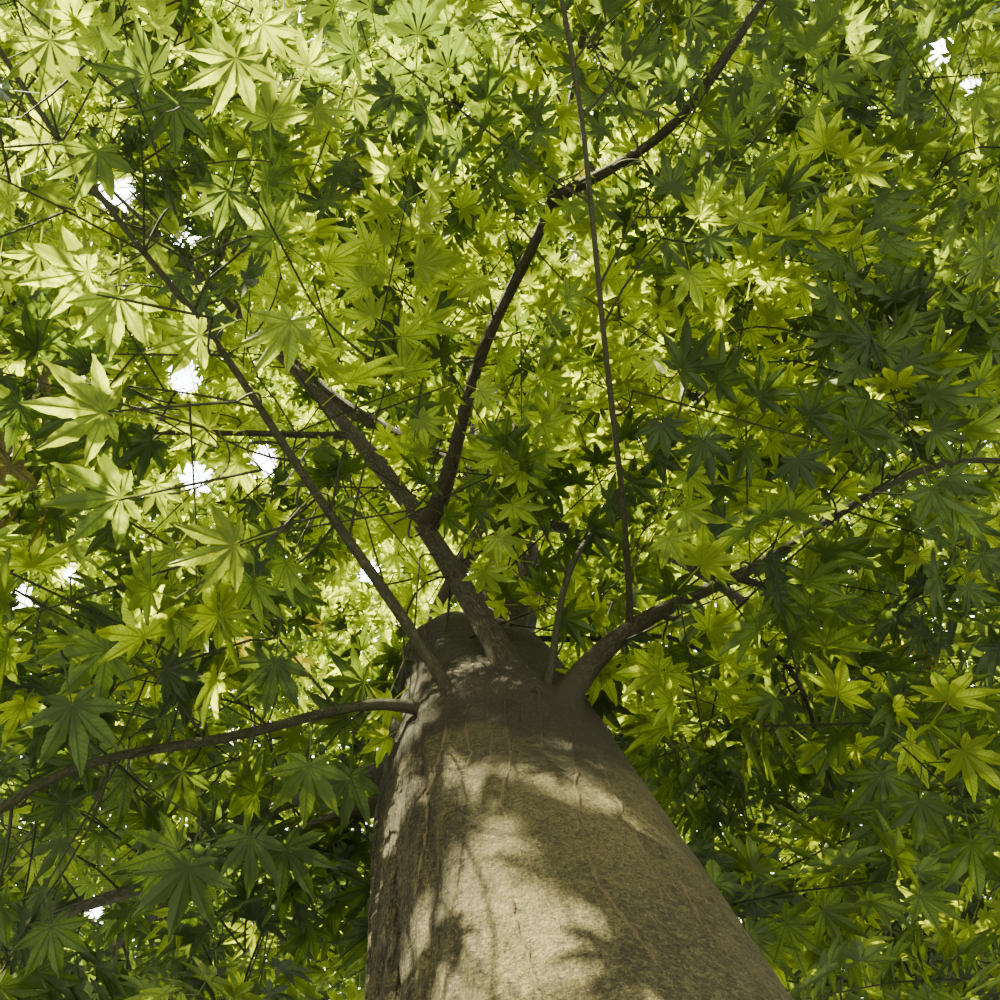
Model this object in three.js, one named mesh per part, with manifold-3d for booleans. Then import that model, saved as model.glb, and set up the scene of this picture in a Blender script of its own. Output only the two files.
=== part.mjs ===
// A siebold maple in fresh leaf: a leaning trunk with a root flare and a warty burr,
// one leader, long slender boughs, and a mass of foliage beyond the tip of each.
// Millimetres, +Z up. The origin is the middle of the flat cut at ground level.

import * as THREE from "three";
import { mergeVertices } from "three/addons/utils/BufferGeometryUtils.js";
import Module from "manifold-3d";

const wasm = await Module();
wasm.setup();
const { Manifold } = wasm;

const RAD = Math.PI / 180;
const GAP = 0.3;

// Trunk: the axis starts upright and leans away from the ground cut.
const LEAN_X = -0.147;
const LEAN_Y = 0.0775;
const LEAN_SOFTENS = 800;
const TRUNK_TIP = 2760;
const TRUNK_RADIUS_LOW = 168;
const TRUNK_RADIUS_HIGH = 143;
const TRUNK_TAPER_TO = 2400;
const SHOULDER = { from: 2430, to: 2820 };
const TIP_RADIUS = 66;
const FLARE = { out: 78, height: 150, buttresses: 5, rounded: 0.75, turn: 0.6 };
const FLUTE = { deep: 5, count: 4, twist: 900 };
const TRUNK_SIDES = 14;
const TRUNK_RINGS = 18;
const RINGS_CROWD_LOW = 1.25;

// The burr stands out of the trunk where most of the visible boughs spring.
const BURR = { height: 2140, side: -95, out: 118, wide: 92, deep: 62, tall: 108, lump: 0.07 };

// Crown: a tall dome whose underside is hollow round the trunk.
const CROWN = { x: -250, y: 0, radius: 3120, waist: 3500, top: 7020, floor: 1600 };
const CROWN_POWER = 2.3;
const CROWN_UNDERSIDE = 260;
const HOLLOW = { depth: 760, x: 0, y: -300, spread: 620, from: -750, to: -250 };
const MASS_MIDDLE = 0.42;
const SPACE_MARGIN = 22;

// Foliage: opposite pairs of twigs along a stem, leaves at each twig's end and sides.
const STEM_STEPS = 6;
const STEM_LEAST = 0.35;
const STEM_ROOT = 0.95;
const STEM_TAPER = 0.6;
const ROOM_AHEAD = 0.8;
const TWIG_PAIRS = 3;
const TWIG_ANGLE = 54;
const ANGLE_VARIES = 16;
const PAIR_ROLLS = [10, 64];
const ROLL_VARIES = 24;
const TWIG_TURNS = [0, 40, -45, 85];
const TWIG_LENGTH = 860;
const TWIG_SHORTENS = 0.3;
const TWIG_TRIMS = [1, 0.85, 0.7, 0.55, 0.42, 0.3];
const TWIG_SHARE = 0.45;
const TWIG_FOOT = 40;
const PATH_SAMPLES = 6;
const SIDE_LEAVES = [{ hand: -1, at: 0.68 }, { hand: 1, at: 0.4 }];
const SIDE_FORWARD = 0.6;
const SIDE_OUT = 0.8;
const LEAF_LENGTH = 350;
const LEAF_VARIES = 0.3;
const LEAF_WIDTH = 0.6;
const LEAF_WIDEST = 0.42;
const LEAF_THICKNESS = 0.026;
const LEAF_STEEPEST = 0.6;
const LEAF_TILT = 0.9;
const END_DROOP = 0.28;
const SIDE_DROOP = 0.34;
const LIMB_CLEARANCE = 26;
const TRUNK_CLEARANCE = 230;
const SEED = 20;
const SEED_STRIDE = 97;

// Each bough: the limb it springs from (at: height on the trunk in mm, or the share of
// a limb's length), the side of the trunk, its first heading and rise in degrees, how
// far heading and rise change along it, a side-to-side sway, and its two radii. The
// foliage beyond its tip has a stem of its own length, turn and lift.
const BOUGHS = [
  { name: "leader", on: "trunk", at: 2600, side: 0, out: 0, head: 0, rise: 70, length: 3200,
    turn: -107, lift: 30, sway: -99, base: 60, tip: 18, stem: 1100, stemTurn: 100, stemLift: -14,
    foliage: "top" },
  { name: "centre", on: "trunk", at: 2100, side: -82, out: 130, head: -148, rise: 74, length: 1480,
    turn: 4, lift: -35, sway: 1, base: 21, tip: 12, stem: 1900, stemTurn: 6, stemLift: -22 },
  { name: "front", on: "centre", at: 0.33, head: -61, rise: 28, length: 640,
    turn: -16, lift: -14, sway: -11, base: 14, tip: 10, stem: 1500, stemTurn: -20, stemLift: 15 },
  { name: "front_right", on: "front", at: 0.96, head: -27, rise: -13, length: 450,
    turn: -29, lift: 18, sway: 7, base: 9, tip: 7, stem: 1500, stemTurn: 8, stemLift: 25 },
  { name: "left_high", on: "centre", at: 0.58, head: 179, rise: -6, length: 430,
    turn: 7, lift: -8, sway: 2, base: 8, tip: 6, stem: 1500, stemTurn: -6, stemLift: 20 },
  { name: "right", on: "trunk", at: 2100, side: -68, out: 130, head: -34, rise: 66, length: 1120,
    turn: 42, lift: -60, sway: 21, base: 19, tip: 7, stem: 1700, stemTurn: -20, stemLift: 24 },
  { name: "right_low", on: "right", at: 0.46, head: 18, rise: 2, length: 540,
    turn: 1, lift: 21, sway: 4, base: 7, tip: 5, stem: 1500, stemTurn: 10, stemLift: -22 },
  { name: "right_back", on: "right", at: 0.27, head: 12, rise: -17, length: 350,
    turn: 58, lift: -3, sway: -19, base: 7, tip: 5, stem: 1400, stemTurn: -20, stemLift: 38 },
  { name: "left", on: "trunk", at: 2130, side: -127, out: 140, head: -155, rise: 3, length: 475,
    turn: -56, lift: -49, sway: -20, base: 11, tip: 6, stem: 1500, stemTurn: 6, stemLift: 66 },
  { name: "diagonal", on: "trunk", at: 2120, side: -116, out: 130, head: -123, rise: 26, length: 635,
    turn: -7, lift: -20, sway: -4, base: 10, tip: 7, stem: 1300, stemTurn: 34, stemLift: -6 },
  { name: "upright", on: "right", at: 0.21, head: -92, rise: -4, length: 780,
    turn: -11, lift: 8, sway: -3, base: 6, tip: 4.5, stem: 1300, stemTurn: 18, stemLift: 10 },
  { name: "short", on: "trunk", at: 2120, side: -74, out: 130, head: -60, rise: 59, length: 480,
    turn: 20, lift: -4, sway: -18, base: 7, tip: 5, stem: 1100, stemTurn: 30, stemLift: -12 },
  { name: "behind", on: "trunk", at: 2560, side: -70, out: 60, head: -33, rise: -7, length: 350,
    turn: 63, lift: 14, sway: 15, base: 8, tip: 6, stem: 1300, stemTurn: 4, stemLift: 56 },
  { name: "back_right", on: "trunk", at: 2420, side: 40, out: 90, head: 44, rise: 38, length: 950,
    turn: 12, lift: -14, sway: 8, base: 22, tip: 12, stem: 1700, stemTurn: -8, stemLift: -10 },
  { name: "back", on: "trunk", at: 2480, side: 92, out: 80, head: 88, rise: 40, length: 950,
    turn: 10, lift: -14, sway: -8, base: 24, tip: 12, stem: 1700, stemTurn: 8, stemLift: -12 },
  { name: "back_left", on: "trunk", at: 2380, side: 140, out: 90, head: 140, rise: 36, length: 1000,
    turn: -8, lift: -12, sway: 9, base: 22, tip: 11, stem: 1700, stemTurn: 8, stemLift: -12 },
  { name: "back_low", on: "trunk", at: 2240, side: 78, out: 100, head: 72, rise: 12, length: 700,
    turn: 12, lift: -6, sway: 6, base: 12, tip: 7, stem: 1500, stemTurn: 4, stemLift: -4 },
  { name: "left_low", on: "trunk", at: 2200, side: 165, out: 100, head: 160, rise: 14, length: 700,
    turn: -12, lift: -6, sway: -6, base: 12, tip: 7, stem: 1600, stemTurn: 6, stemLift: 2 },
];

// Tiers of boughs round the leader: how many, the heading of the first, and their form.
const TIERS = [
  { name: "low", count: 4, at: 0.2, climb: 0.025, head: 24, rise: 34, length: 1120, lift: -8,
    base: 26, tip: 13, stem: 1700, stemLift: -12 },
  { name: "mid", count: 4, at: 0.45, climb: 0.025, head: 68, rise: 42, length: 820, lift: -6,
    base: 20, tip: 11, stem: 1500, stemLift: -6 },
  { name: "high", count: 3, at: 0.74, climb: 0.03, head: 20, rise: 46, length: 480, lift: 4,
    base: 13, tip: 8, stem: 1250, stemLift: 6 },
];

const LIMB_SIDES = 6;
const CURVE_STEPS = 48;
const LIMB_RINGS = 6;

const barkMaterial = new THREE.MeshStandardMaterial({ color: 0x8d8162, roughness: 0.9, metalness: 0 });
const boughMaterial = new THREE.MeshStandardMaterial({ color: 0x4c4334, roughness: 0.85, metalness: 0 });
const leafMaterial = new THREE.MeshStandardMaterial({ color: 0x8fb52e, roughness: 0.6, metalness: 0 });

// A repeatable run of numbers from 0 to 1.
function seededRandom(seed) {
  let state = seed >>> 0;
  return () => {
    state = (state + 0x6d2b79f5) >>> 0;
    let mixed = Math.imul(state ^ (state >>> 15), 1 | state);
    mixed = (mixed + Math.imul(mixed ^ (mixed >>> 7), 61 | mixed)) ^ mixed;
    return ((mixed ^ (mixed >>> 14)) >>> 0) / 4294967296;
  };
}

function smoothStep(from, to, value) {
  const share = Math.min(1, Math.max(0, (value - from) / (to - from)));
  return share * share * (3 - 2 * share);
}

function direction(head, rise) {
  const flat = Math.cos(rise * RAD);
  return new THREE.Vector3(flat * Math.cos(head * RAD), flat * Math.sin(head * RAD), Math.sin(rise * RAD));
}

// A closed solid from corner points and triangles.
function solidFrom(points, triangles) {
  const vertProperties = new Float32Array(points.flatMap((point) => [point.x, point.y, point.z]));
  const triVerts = new Uint32Array(triangles.flat());
  return new Manifold(new wasm.Mesh({ numProp: 3, vertProperties, triVerts }));
}

// Joins rings of equal length into a tube with a flat cap at each end.
function loft(rings) {
  const sides = rings[0].length;
  const triangles = [];
  for (let ring = 0; ring + 1 < rings.length; ring += 1) {
    for (let side = 0; side < sides; side += 1) {
      const next = (side + 1) % sides;
      const low = ring * sides;
      const high = low + sides;
      triangles.push([low + side, low + next, high + next], [low + side, high + next, high + side]);
    }
  }
  const last = (rings.length - 1) * sides;
  for (let side = 1; side + 1 < sides; side += 1) {
    triangles.push([0, side + 1, side], [last, last + side, last + side + 1]);
  }
  return solidFrom(rings.flat(), triangles);
}

// The level direction across a line, or the last one carried on without a twist.
function asideOf(along, before) {
  const aside = before ? before.clone() : new THREE.Vector3(0, 0, 1).cross(along);
  if (aside.length() < 0.02) aside.set(1, 0, 0);
  return aside.addScaledVector(along, -aside.dot(along)).normalize();
}

// A ring of corners round a line, its first corner on top.
function ringAround(centre, along, aside, radius, sides) {
  const above = new THREE.Vector3().crossVectors(along, aside).normalize();
  const ring = [];
  for (let side = 0; side < sides; side += 1) {
    const angle = Math.PI / 2 + (2 * Math.PI * side) / sides;
    ring.push(centre.clone()
      .addScaledVector(aside, radius * Math.cos(angle))
      .addScaledVector(above, radius * Math.sin(angle)));
  }
  return ring;
}

// A bent line: it turns and lifts evenly along its length and sways once.
function bentLine(start, form) {
  const points = [start.clone()];
  for (let step = 0; step < CURVE_STEPS; step += 1) {
    const share = (step + 0.5) / CURVE_STEPS;
    const head = form.head + form.turn * share + form.sway * Math.sin(2 * Math.PI * share);
    const along = direction(head, form.rise + form.lift * share);
    points.push(points[step].clone().addScaledVector(along, form.length / CURVE_STEPS));
  }
  return points;
}

function lineDirection(points, index) {
  const before = points[Math.max(0, index - 1)];
  const after = points[Math.min(points.length - 1, index + 1)];
  return after.clone().sub(before).normalize();
}

// Rings along a line, spaced evenly, each turned as little as the line allows.
function hoopsAlong(points, rings, sides, radiusAt) {
  const hoops = [];
  let aside = null;
  for (let ring = 0; ring <= rings; ring += 1) {
    const index = Math.round(((points.length - 1) * ring) / rings);
    const along = lineDirection(points, index);
    aside = asideOf(along, aside);
    hoops.push(ringAround(points[index], along, aside, radiusAt(ring / rings), sides));
  }
  return { hoops, aside };
}

function trunkAxis(height) {
  const gone = Math.sqrt(height * height + LEAN_SOFTENS * LEAN_SOFTENS) - LEAN_SOFTENS;
  return new THREE.Vector3(LEAN_X * gone, LEAN_Y * gone, height);
}

function trunkRadius(height, angle) {
  const rise = Math.min(1, height / TRUNK_TAPER_TO);
  const shaft = TRUNK_RADIUS_LOW + (TRUNK_RADIUS_HIGH - TRUNK_RADIUS_LOW) * rise;
  const shoulder = smoothStep(SHOULDER.from, SHOULDER.to, height);
  const buttress = Math.cos(FLARE.buttresses * angle + FLARE.turn);
  const flare = FLARE.out * Math.exp(-height / FLARE.height) * (FLARE.rounded + (1 - FLARE.rounded) * buttress);
  const flute = FLUTE.deep * Math.cos(FLUTE.count * angle + height / FLUTE.twist);
  return shaft + (TIP_RADIUS - shaft) * shoulder + flare + flute * (1 - shoulder);
}

function trunkSolid(grown) {
  const rings = [];
  for (let ring = 0; ring <= TRUNK_RINGS; ring += 1) {
    const share = ring / TRUNK_RINGS;
    const height = TRUNK_TIP * share ** RINGS_CROWD_LOW;
    const centre = trunkAxis(height);
    const hoop = [];
    for (let side = 0; side < TRUNK_SIDES; side += 1) {
      const angle = (2 * Math.PI * side) / TRUNK_SIDES;
      const radius = trunkRadius(height, angle) + grown;
      hoop.push(new THREE.Vector3(centre.x + radius * Math.cos(angle), centre.y + radius * Math.sin(angle), height));
    }
    rings.push(hoop);
  }
  if (grown > 0) rings[TRUNK_RINGS].forEach((point) => { point.z += grown; });
  return loft(rings).add(burrSolid(grown));
}

// The burr: a lumpy rounded boss on the near side of the trunk.
function burrSolid(grown) {
  const ball = new THREE.IcosahedronGeometry(1, 1);
  ball.deleteAttribute("normal");
  ball.deleteAttribute("uv");
  const merged = mergeVertices(ball);
  const middle = trunkAxis(BURR.height).add(direction(BURR.side, 0).multiplyScalar(BURR.out));
  const points = [];
  const places = merged.getAttribute("position");
  for (let index = 0; index < places.count; index += 1) {
    const spot = new THREE.Vector3().fromBufferAttribute(places, index);
    const lump = 1 + BURR.lump * Math.sin(5 * spot.x + 3 * spot.z);
    points.push(new THREE.Vector3(
      middle.x + spot.x * (BURR.wide * lump + grown),
      middle.y + spot.y * (BURR.deep * lump + grown),
      middle.z + spot.z * (BURR.tall * lump + grown),
    ));
  }
  const order = Array.from(merged.getIndex().array);
  const triangles = [];
  for (let corner = 0; corner < order.length; corner += 3) triangles.push(order.slice(corner, corner + 3));
  return solidFrom(points, triangles);
}

// The rows of every bough, with the tiers round the leader dealt out evenly.
function allBoughs() {
  const rows = [...BOUGHS];
  TIERS.forEach((tier) => {
    for (let place = 0; place < tier.count; place += 1) {
      rows.push({
        name: `${tier.name}_${place + 1}`,
        on: "leader",
        at: tier.at + tier.climb * place,
        head: tier.head + (360 * place) / tier.count,
        rise: tier.rise,
        length: tier.length,
        turn: place % 2 ? -12 : 12,
        lift: tier.lift,
        sway: place % 2 ? 7 : -7,
        base: tier.base,
        tip: tier.tip,
        stem: tier.stem,
        stemTurn: place % 2 ? 8 : -8,
        stemLift: tier.stemLift,
      });
    }
  });
  return rows;
}

// Works out a limb's line, its radii, and the line of the foliage stem beyond its tip.
function placeLimb(row, limbs) {
  let start;
  if (row.on === "trunk") {
    start = trunkAxis(row.at).add(direction(row.side, 0).multiplyScalar(row.out));
  } else {
    const parent = limbs.get(row.on);
    start = parent.line[Math.round(row.at * CURVE_STEPS)].clone();
  }
  const line = bentLine(start, row);
  const tipHead = row.head + row.turn;
  const tipRise = row.rise + row.lift;
  const tipPoint = line[CURVE_STEPS];
  const stemStart = tipPoint.clone().addScaledVector(lineDirection(line, CURVE_STEPS), GAP);
  const stem = bentLine(stemStart, {
    head: tipHead, rise: tipRise, length: row.stem, turn: row.stemTurn, lift: row.stemLift, sway: 0,
  });
  return { row, line, stem };
}

function limbRadius(row, share) {
  return row.base + (row.tip - row.base) * share;
}

function limbSolid(limb, grown) {
  const radiusAt = (share) => limbRadius(limb.row, share) + grown;
  return loft(hoopsAlong(limb.line, LIMB_RINGS, LIMB_SIDES, radiusAt).hoops);
}

// Inside the crown's dome and above its hollow underside.
function insideCrown(point) {
  const aside = Math.hypot(point.x - CROWN.x, point.y - CROWN.y) / CROWN.radius;
  const span = point.z > CROWN.waist ? CROWN.top - CROWN.waist : CROWN.waist - CROWN.floor + CROWN_UNDERSIDE;
  const above = Math.abs(point.z - CROWN.waist) / span;
  const far = (point.x - HOLLOW.x) ** 2 + (point.y - HOLLOW.y) ** 2;
  const hollow = HOLLOW.depth * smoothStep(HOLLOW.from, HOLLOW.to, point.x)
    * Math.exp(-far / (2 * HOLLOW.spread * HOLLOW.spread));
  return aside ** CROWN_POWER + above ** CROWN_POWER < 1 && point.z > CROWN.floor + hollow;
}

// A mass's own space: nearer to its middle than to any other mass's, with a margin.
function insideSpace(point, mass, masses) {
  if (!insideCrown(point)) return false;
  const own = point.distanceToSquared(mass.middle);
  return masses.every((other) => {
    if (other === mass) return true;
    const apart = other.middle.distanceTo(mass.middle);
    return point.distanceToSquared(other.middle) - own > 2 * SPACE_MARGIN * apart;
  });
}

function distanceToSegment(point, from, to) {
  const along = to.clone().sub(from);
  const share = THREE.MathUtils.clamp(point.clone().sub(from).dot(along) / along.lengthSq(), 0, 1);
  return point.distanceTo(from.clone().addScaledVector(along, share));
}

// True where a point keeps clear of the trunk and of every limb.
function clearOfWood(point, limbs) {
  const axis = trunkAxis(point.z);
  if (point.z < TRUNK_TIP + 40 && Math.hypot(point.x - axis.x, point.y - axis.y) < TRUNK_CLEARANCE) return false;
  for (const limb of limbs.values()) {
    const stride = CURVE_STEPS / LIMB_RINGS;
    for (let index = 0; index < CURVE_STEPS; index += stride) {
      const reach = limbRadius(limb.row, index / CURVE_STEPS) + LIMB_CLEARANCE;
      if (distanceToSegment(point, limb.line[index], limb.line[index + stride]) < reach) return false;
    }
  }
  return true;
}

function pathIsFree(from, to, samples, allowed) {
  for (let sample = 1; sample <= samples; sample += 1) {
    if (!allowed(from.clone().lerp(to, sample / samples))) return false;
  }
  return true;
}

// A leaf's corners: a flat blade, widest before its middle and thickest there too.
function leafCorners(root, along, aside, length) {
  const across = asideOf(along, aside);
  const face = new THREE.Vector3().crossVectors(along, across).normalize();
  const wide = 0.5 * LEAF_WIDTH * length;
  const thick = 0.5 * LEAF_THICKNESS * length;
  const middle = root.clone().addScaledVector(along, LEAF_WIDEST * length);
  return {
    root,
    tip: root.clone().addScaledVector(along, length),
    rim: [
      middle.clone().addScaledVector(face, thick),
      middle.clone().addScaledVector(across, -wide),
      middle.clone().addScaledVector(face, -thick),
      middle.clone().addScaledVector(across, wide),
    ],
  };
}

// Points all over a leaf, where it is tested for room.
function leafProbes({ root, rim, tip }) {
  const [, right, , left] = rim;
  const middle = left.clone().lerp(right, 0.5);
  return [
    tip, left, right, middle,
    tip.clone().lerp(middle, 0.5), root.clone().lerp(middle, 0.5),
    tip.clone().lerp(left, 0.5), tip.clone().lerp(right, 0.5),
    root.clone().lerp(left, 0.6), root.clone().lerp(right, 0.6),
    middle.clone().lerp(left, 0.5), middle.clone().lerp(right, 0.5),
  ];
}

// A leaf by itself, its root a sharp point to be sunk in a twig.
function leafSolid({ root, rim, tip }) {
  const triangles = rim.flatMap((corner, index) => {
    const next = (index + 1) % rim.length;
    return [[index, next, 4], [next, index, 5]];
  });
  return solidFrom([...rim, tip, root], triangles);
}

// A three-sided twig whose last ring widens straight into a leaf at its end.
function leafyTwig(rings, { rim, tip }) {
  const points = [...rings.flat(), ...rim, tip];
  const end = (rings.length - 1) * 3;
  const blade = end + 3;
  const apex = blade + 4;
  const triangles = [[0, 2, 1]];
  for (let low = 0; low < end; low += 3) {
    for (let side = 0; side < 3; side += 1) {
      const next = (side + 1) % 3;
      triangles.push([low + side, low + next, low + 3 + next], [low + side, low + 3 + next, low + 3 + side]);
    }
  }
  triangles.push(
    [end, blade + 1, blade],
    [end, end + 1, blade + 1],
    [end + 1, blade + 2, blade + 1],
    [end + 1, end + 2, blade + 2],
    [end + 2, blade + 3, blade + 2],
    [end + 2, end, blade + 3],
    [end, blade, blade + 3],
  );
  for (let side = 0; side < 4; side += 1) triangles.push([blade + side, blade + ((side + 1) % 4), apex]);
  return solidFrom(points, triangles);
}

// A leaf's corners by the seeded rule: its size and tilt vary, and it never stands upright.
function variedLeaf(random, root, along, aside, droop) {
  const length = LEAF_LENGTH * (1 + LEAF_VARIES * (random() - 0.5));
  const out = along.clone();
  out.z = Math.min(LEAF_STEEPEST, out.z - droop);
  const tilted = aside.clone();
  tilted.z += LEAF_TILT * (random() - 0.5);
  return leafCorners(root, out.normalize(), tilted, length);
}

// One twig with its end leaf and a leaf on each side, or nothing where there is no room.
function leafyTwigSolids(random, from, heading, length, radius, allowed) {
  const fits = (leaf) => leafProbes(leaf).every(allowed);
  const aside = asideOf(heading, null);
  for (const trim of TWIG_TRIMS) {
    const to = from.clone().addScaledVector(heading, length * trim);
    const endLeaf = variedLeaf(random, to, heading, aside, END_DROOP);
    const clearFoot = from.clone().addScaledVector(heading, TWIG_FOOT);
    if (!fits(endLeaf) || !pathIsFree(clearFoot, to, PATH_SAMPLES, allowed)) continue;
    const rings = [ringAround(from, heading, aside, radius, 3), ringAround(to, heading, aside, 0.5 * radius, 3)];
    const solids = [leafyTwig(rings, endLeaf)];
    SIDE_LEAVES.forEach(({ hand, at }) => {
      const along = heading.clone().multiplyScalar(SIDE_FORWARD).addScaledVector(aside, hand * SIDE_OUT);
      const leaf = variedLeaf(random, from.clone().lerp(to, at), along, asideOf(along, null), SIDE_DROOP);
      if (fits(leaf)) solids.push(leafSolid(leaf));
    });
    return solids;
  }
  return [];
}

// One mass of foliage: its stem, its twigs in opposite pairs, and its leaves.
function foliageSolid(mass, masses, limbs) {
  const random = seededRandom(SEED + mass.index * SEED_STRIDE);
  const allowed = (point) => insideSpace(point, mass, masses) && clearOfWood(point, limbs);
  const { stem } = mass.limb;
  const roomAhead = (index) => allowed(
    stem[index].clone().addScaledVector(lineDirection(stem, index), ROOM_AHEAD * LEAF_LENGTH),
  );
  let reach = Math.round(STEM_LEAST * CURVE_STEPS);
  while (reach < CURVE_STEPS && roomAhead(reach + 1)) reach += 1;
  const radiusAt = (share) => mass.limb.row.tip * (STEM_ROOT - STEM_TAPER * share);
  const { hoops, aside } = hoopsAlong(stem.slice(0, reach + 1), STEM_STEPS, 3, radiusAt);
  const pieces = [leafyTwig(hoops, variedLeaf(random, stem[reach], lineDirection(stem, reach), aside, END_DROOP))];
  for (let pair = 0; pair < TWIG_PAIRS; pair += 1) {
    const share = (pair + 0.5) / TWIG_PAIRS;
    const index = Math.round(share * reach);
    const along = lineDirection(stem, index);
    const level = asideOf(along, null);
    const lifted = new THREE.Vector3().crossVectors(along, level);
    for (const side of [-1, 1]) {
      for (const turned of TWIG_TURNS) {
        const roll = (PAIR_ROLLS[pair % 2] + turned + ROLL_VARIES * (random() - 0.5)) * RAD;
        const angle = (TWIG_ANGLE + ANGLE_VARIES * (random() - 0.5)) * RAD;
        const outward = level.clone().multiplyScalar(side * Math.cos(roll))
          .addScaledVector(lifted, side * Math.sin(roll));
        const heading = along.clone().multiplyScalar(Math.cos(angle)).addScaledVector(outward, Math.sin(angle));
        const length = TWIG_LENGTH * (1 - TWIG_SHORTENS * share);
        const radius = TWIG_SHARE * radiusAt(share);
        const twig = leafyTwigSolids(random, stem[index], heading, length, radius, allowed);
        pieces.push(...twig);
        if (twig.length > 1) break;
      }
    }
  }
  return Manifold.union(pieces);
}

// Keeps the largest body, so that loose scraps and sealed hollows go.
function largestBody(solid) {
  return solid.decompose().reduce((best, piece) => (piece.volume() > best.volume() ? piece : best));
}

function meshFrom(name, solid, material) {
  const { vertProperties, triVerts } = largestBody(solid).getMesh();
  const geometry = new THREE.BufferGeometry();
  geometry.setAttribute("position", new THREE.BufferAttribute(vertProperties, 3));
  geometry.setIndex(new THREE.BufferAttribute(triVerts, 1));
  geometry.computeVertexNormals();
  const mesh = new THREE.Mesh(geometry, material);
  mesh.name = name;
  return mesh;
}

function buildTree() {
  const tree = new THREE.Group();
  const limbs = new Map();
  allBoughs().forEach((row) => limbs.set(row.name, placeLimb(row, limbs)));
  const masses = [...limbs.values()].map((limb, index) => (
    { index, limb, middle: limb.stem[Math.round(MASS_MIDDLE * CURVE_STEPS)] }
  ));

  tree.add(meshFrom("trunk", trunkSolid(0), barkMaterial));
  const trunkCutter = trunkSolid(GAP);
  const cutters = new Map();
  limbs.forEach((limb, name) => cutters.set(name, limbSolid(limb, GAP)));
  limbs.forEach((limb, name) => {
    const parent = limb.row.on === "trunk" ? trunkCutter : cutters.get(limb.row.on);
    const solid = limbSolid(limb, 0).subtract(parent);
    tree.add(meshFrom(name === "leader" ? "leader" : `bough_${name}`, solid, boughMaterial));
  });
  masses.forEach((mass) => {
    const name = mass.limb.row.foliage ?? mass.limb.row.name;
    tree.add(meshFrom(`foliage_${name}`, foliageSolid(mass, masses, limbs), leafMaterial));
  });
  return tree;
}

export default buildTree();
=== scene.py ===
# %% [markdown]
# A siebold maple, seen from under its crown
#
# This notebook dresses a whole tree for rendering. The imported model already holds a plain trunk, plain
# boughs and plain masses of foliage in their true places. Each of them is replaced here by bark with
# relief, by fine twigs and by some thirty-four thousand leaves, grown by the rule that made the plain
# ones.

# %% Load the frame
import bpy
import math
import numpy as np
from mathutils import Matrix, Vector, noise
from mathutils.bvhtree import BVHTree


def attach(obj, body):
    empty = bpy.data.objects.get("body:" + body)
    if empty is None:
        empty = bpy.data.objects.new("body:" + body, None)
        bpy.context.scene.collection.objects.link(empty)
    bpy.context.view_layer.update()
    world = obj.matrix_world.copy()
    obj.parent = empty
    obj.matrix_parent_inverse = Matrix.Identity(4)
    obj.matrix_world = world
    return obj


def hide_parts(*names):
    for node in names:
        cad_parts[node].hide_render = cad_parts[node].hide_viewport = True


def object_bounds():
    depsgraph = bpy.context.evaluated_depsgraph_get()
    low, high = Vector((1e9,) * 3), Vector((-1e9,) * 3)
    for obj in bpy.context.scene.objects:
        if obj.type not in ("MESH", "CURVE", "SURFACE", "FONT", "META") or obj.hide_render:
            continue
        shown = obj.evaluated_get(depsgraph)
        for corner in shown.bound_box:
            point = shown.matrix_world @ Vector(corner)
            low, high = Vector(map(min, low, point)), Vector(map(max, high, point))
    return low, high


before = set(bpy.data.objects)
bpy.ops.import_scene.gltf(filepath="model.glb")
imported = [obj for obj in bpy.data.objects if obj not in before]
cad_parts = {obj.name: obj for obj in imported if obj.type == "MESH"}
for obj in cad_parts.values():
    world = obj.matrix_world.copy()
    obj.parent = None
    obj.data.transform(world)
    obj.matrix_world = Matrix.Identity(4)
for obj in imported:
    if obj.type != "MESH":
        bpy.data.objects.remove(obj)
cad_box = [list(corner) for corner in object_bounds()]
bpy.ops.object.select_all(action="DESELECT")
print("nodes in the frame:", len(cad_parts))

# %% [markdown]
# The camera
#
# The photograph was taken from beside the trunk, almost straight up. A camera could be tracked to a
# target, but a plain turn about the X axis says the same with one number: how far the view rises above
# the horizon.

# %% Place the camera
VIEW_SPOT = Vector((-0.228, -0.465, 1.149))
VIEW_RISE = 78.0
LENS = 32.4

camera_data = bpy.data.cameras.new("view")
camera_data.lens = LENS
camera_data.clip_start = 0.02
camera = bpy.data.objects.new("view", camera_data)
camera.location = VIEW_SPOT
camera.rotation_euler = (math.radians(90 + VIEW_RISE), 0, 0)
bpy.context.scene.collection.objects.link(camera)
bpy.context.scene.camera = camera
print("camera at", tuple(round(value, 3) for value in VIEW_SPOT), "rising", VIEW_RISE, "degrees")

# %% [markdown]
# The tree's sizes
#
# These are the driving sizes of the plain model, in metres. The twigs have to start where its boughs
# end and stay inside the same crown, so its numbers are repeated here.

# %% Sizes of the trunk, crown and boughs
LEAN_X = -0.147
LEAN_Y = 0.0775
LEAN_SOFTENS = 0.8
TRUNK_TIP = 2.76
TRUNK_RADIUS_LOW = 0.168
TRUNK_RADIUS_HIGH = 0.143
TRUNK_TAPER_TO = 2.4
SHOULDER = (2.43, 2.82)
TIP_RADIUS = 0.066
FLARE = dict(out=0.078, height=0.15, buttresses=5, rounded=0.75, turn=0.6)
FLUTE = dict(deep=0.005, count=4, twist=0.9)
BURR = dict(height=2.14, side=-95, out=0.118, wide=0.092, deep=0.062, tall=0.108)

CROWN = dict(x=-0.25, y=0.0, radius=3.12, waist=3.5, top=7.02, floor=1.6)
CROWN_POWER = 2.3
CROWN_UNDERSIDE = 0.26
HOLLOW = dict(depth=0.76, x=0.0, y=-0.3, spread=0.62, start=-0.75, end=-0.25)
MASS_MIDDLE = 0.42
SPACE_MARGIN = 0.022
CURVE_STEPS = 48
GAP = 0.0003

print("trunk", TRUNK_TIP, "m to its tip; crown from", CROWN["floor"], "to", CROWN["top"])

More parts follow.
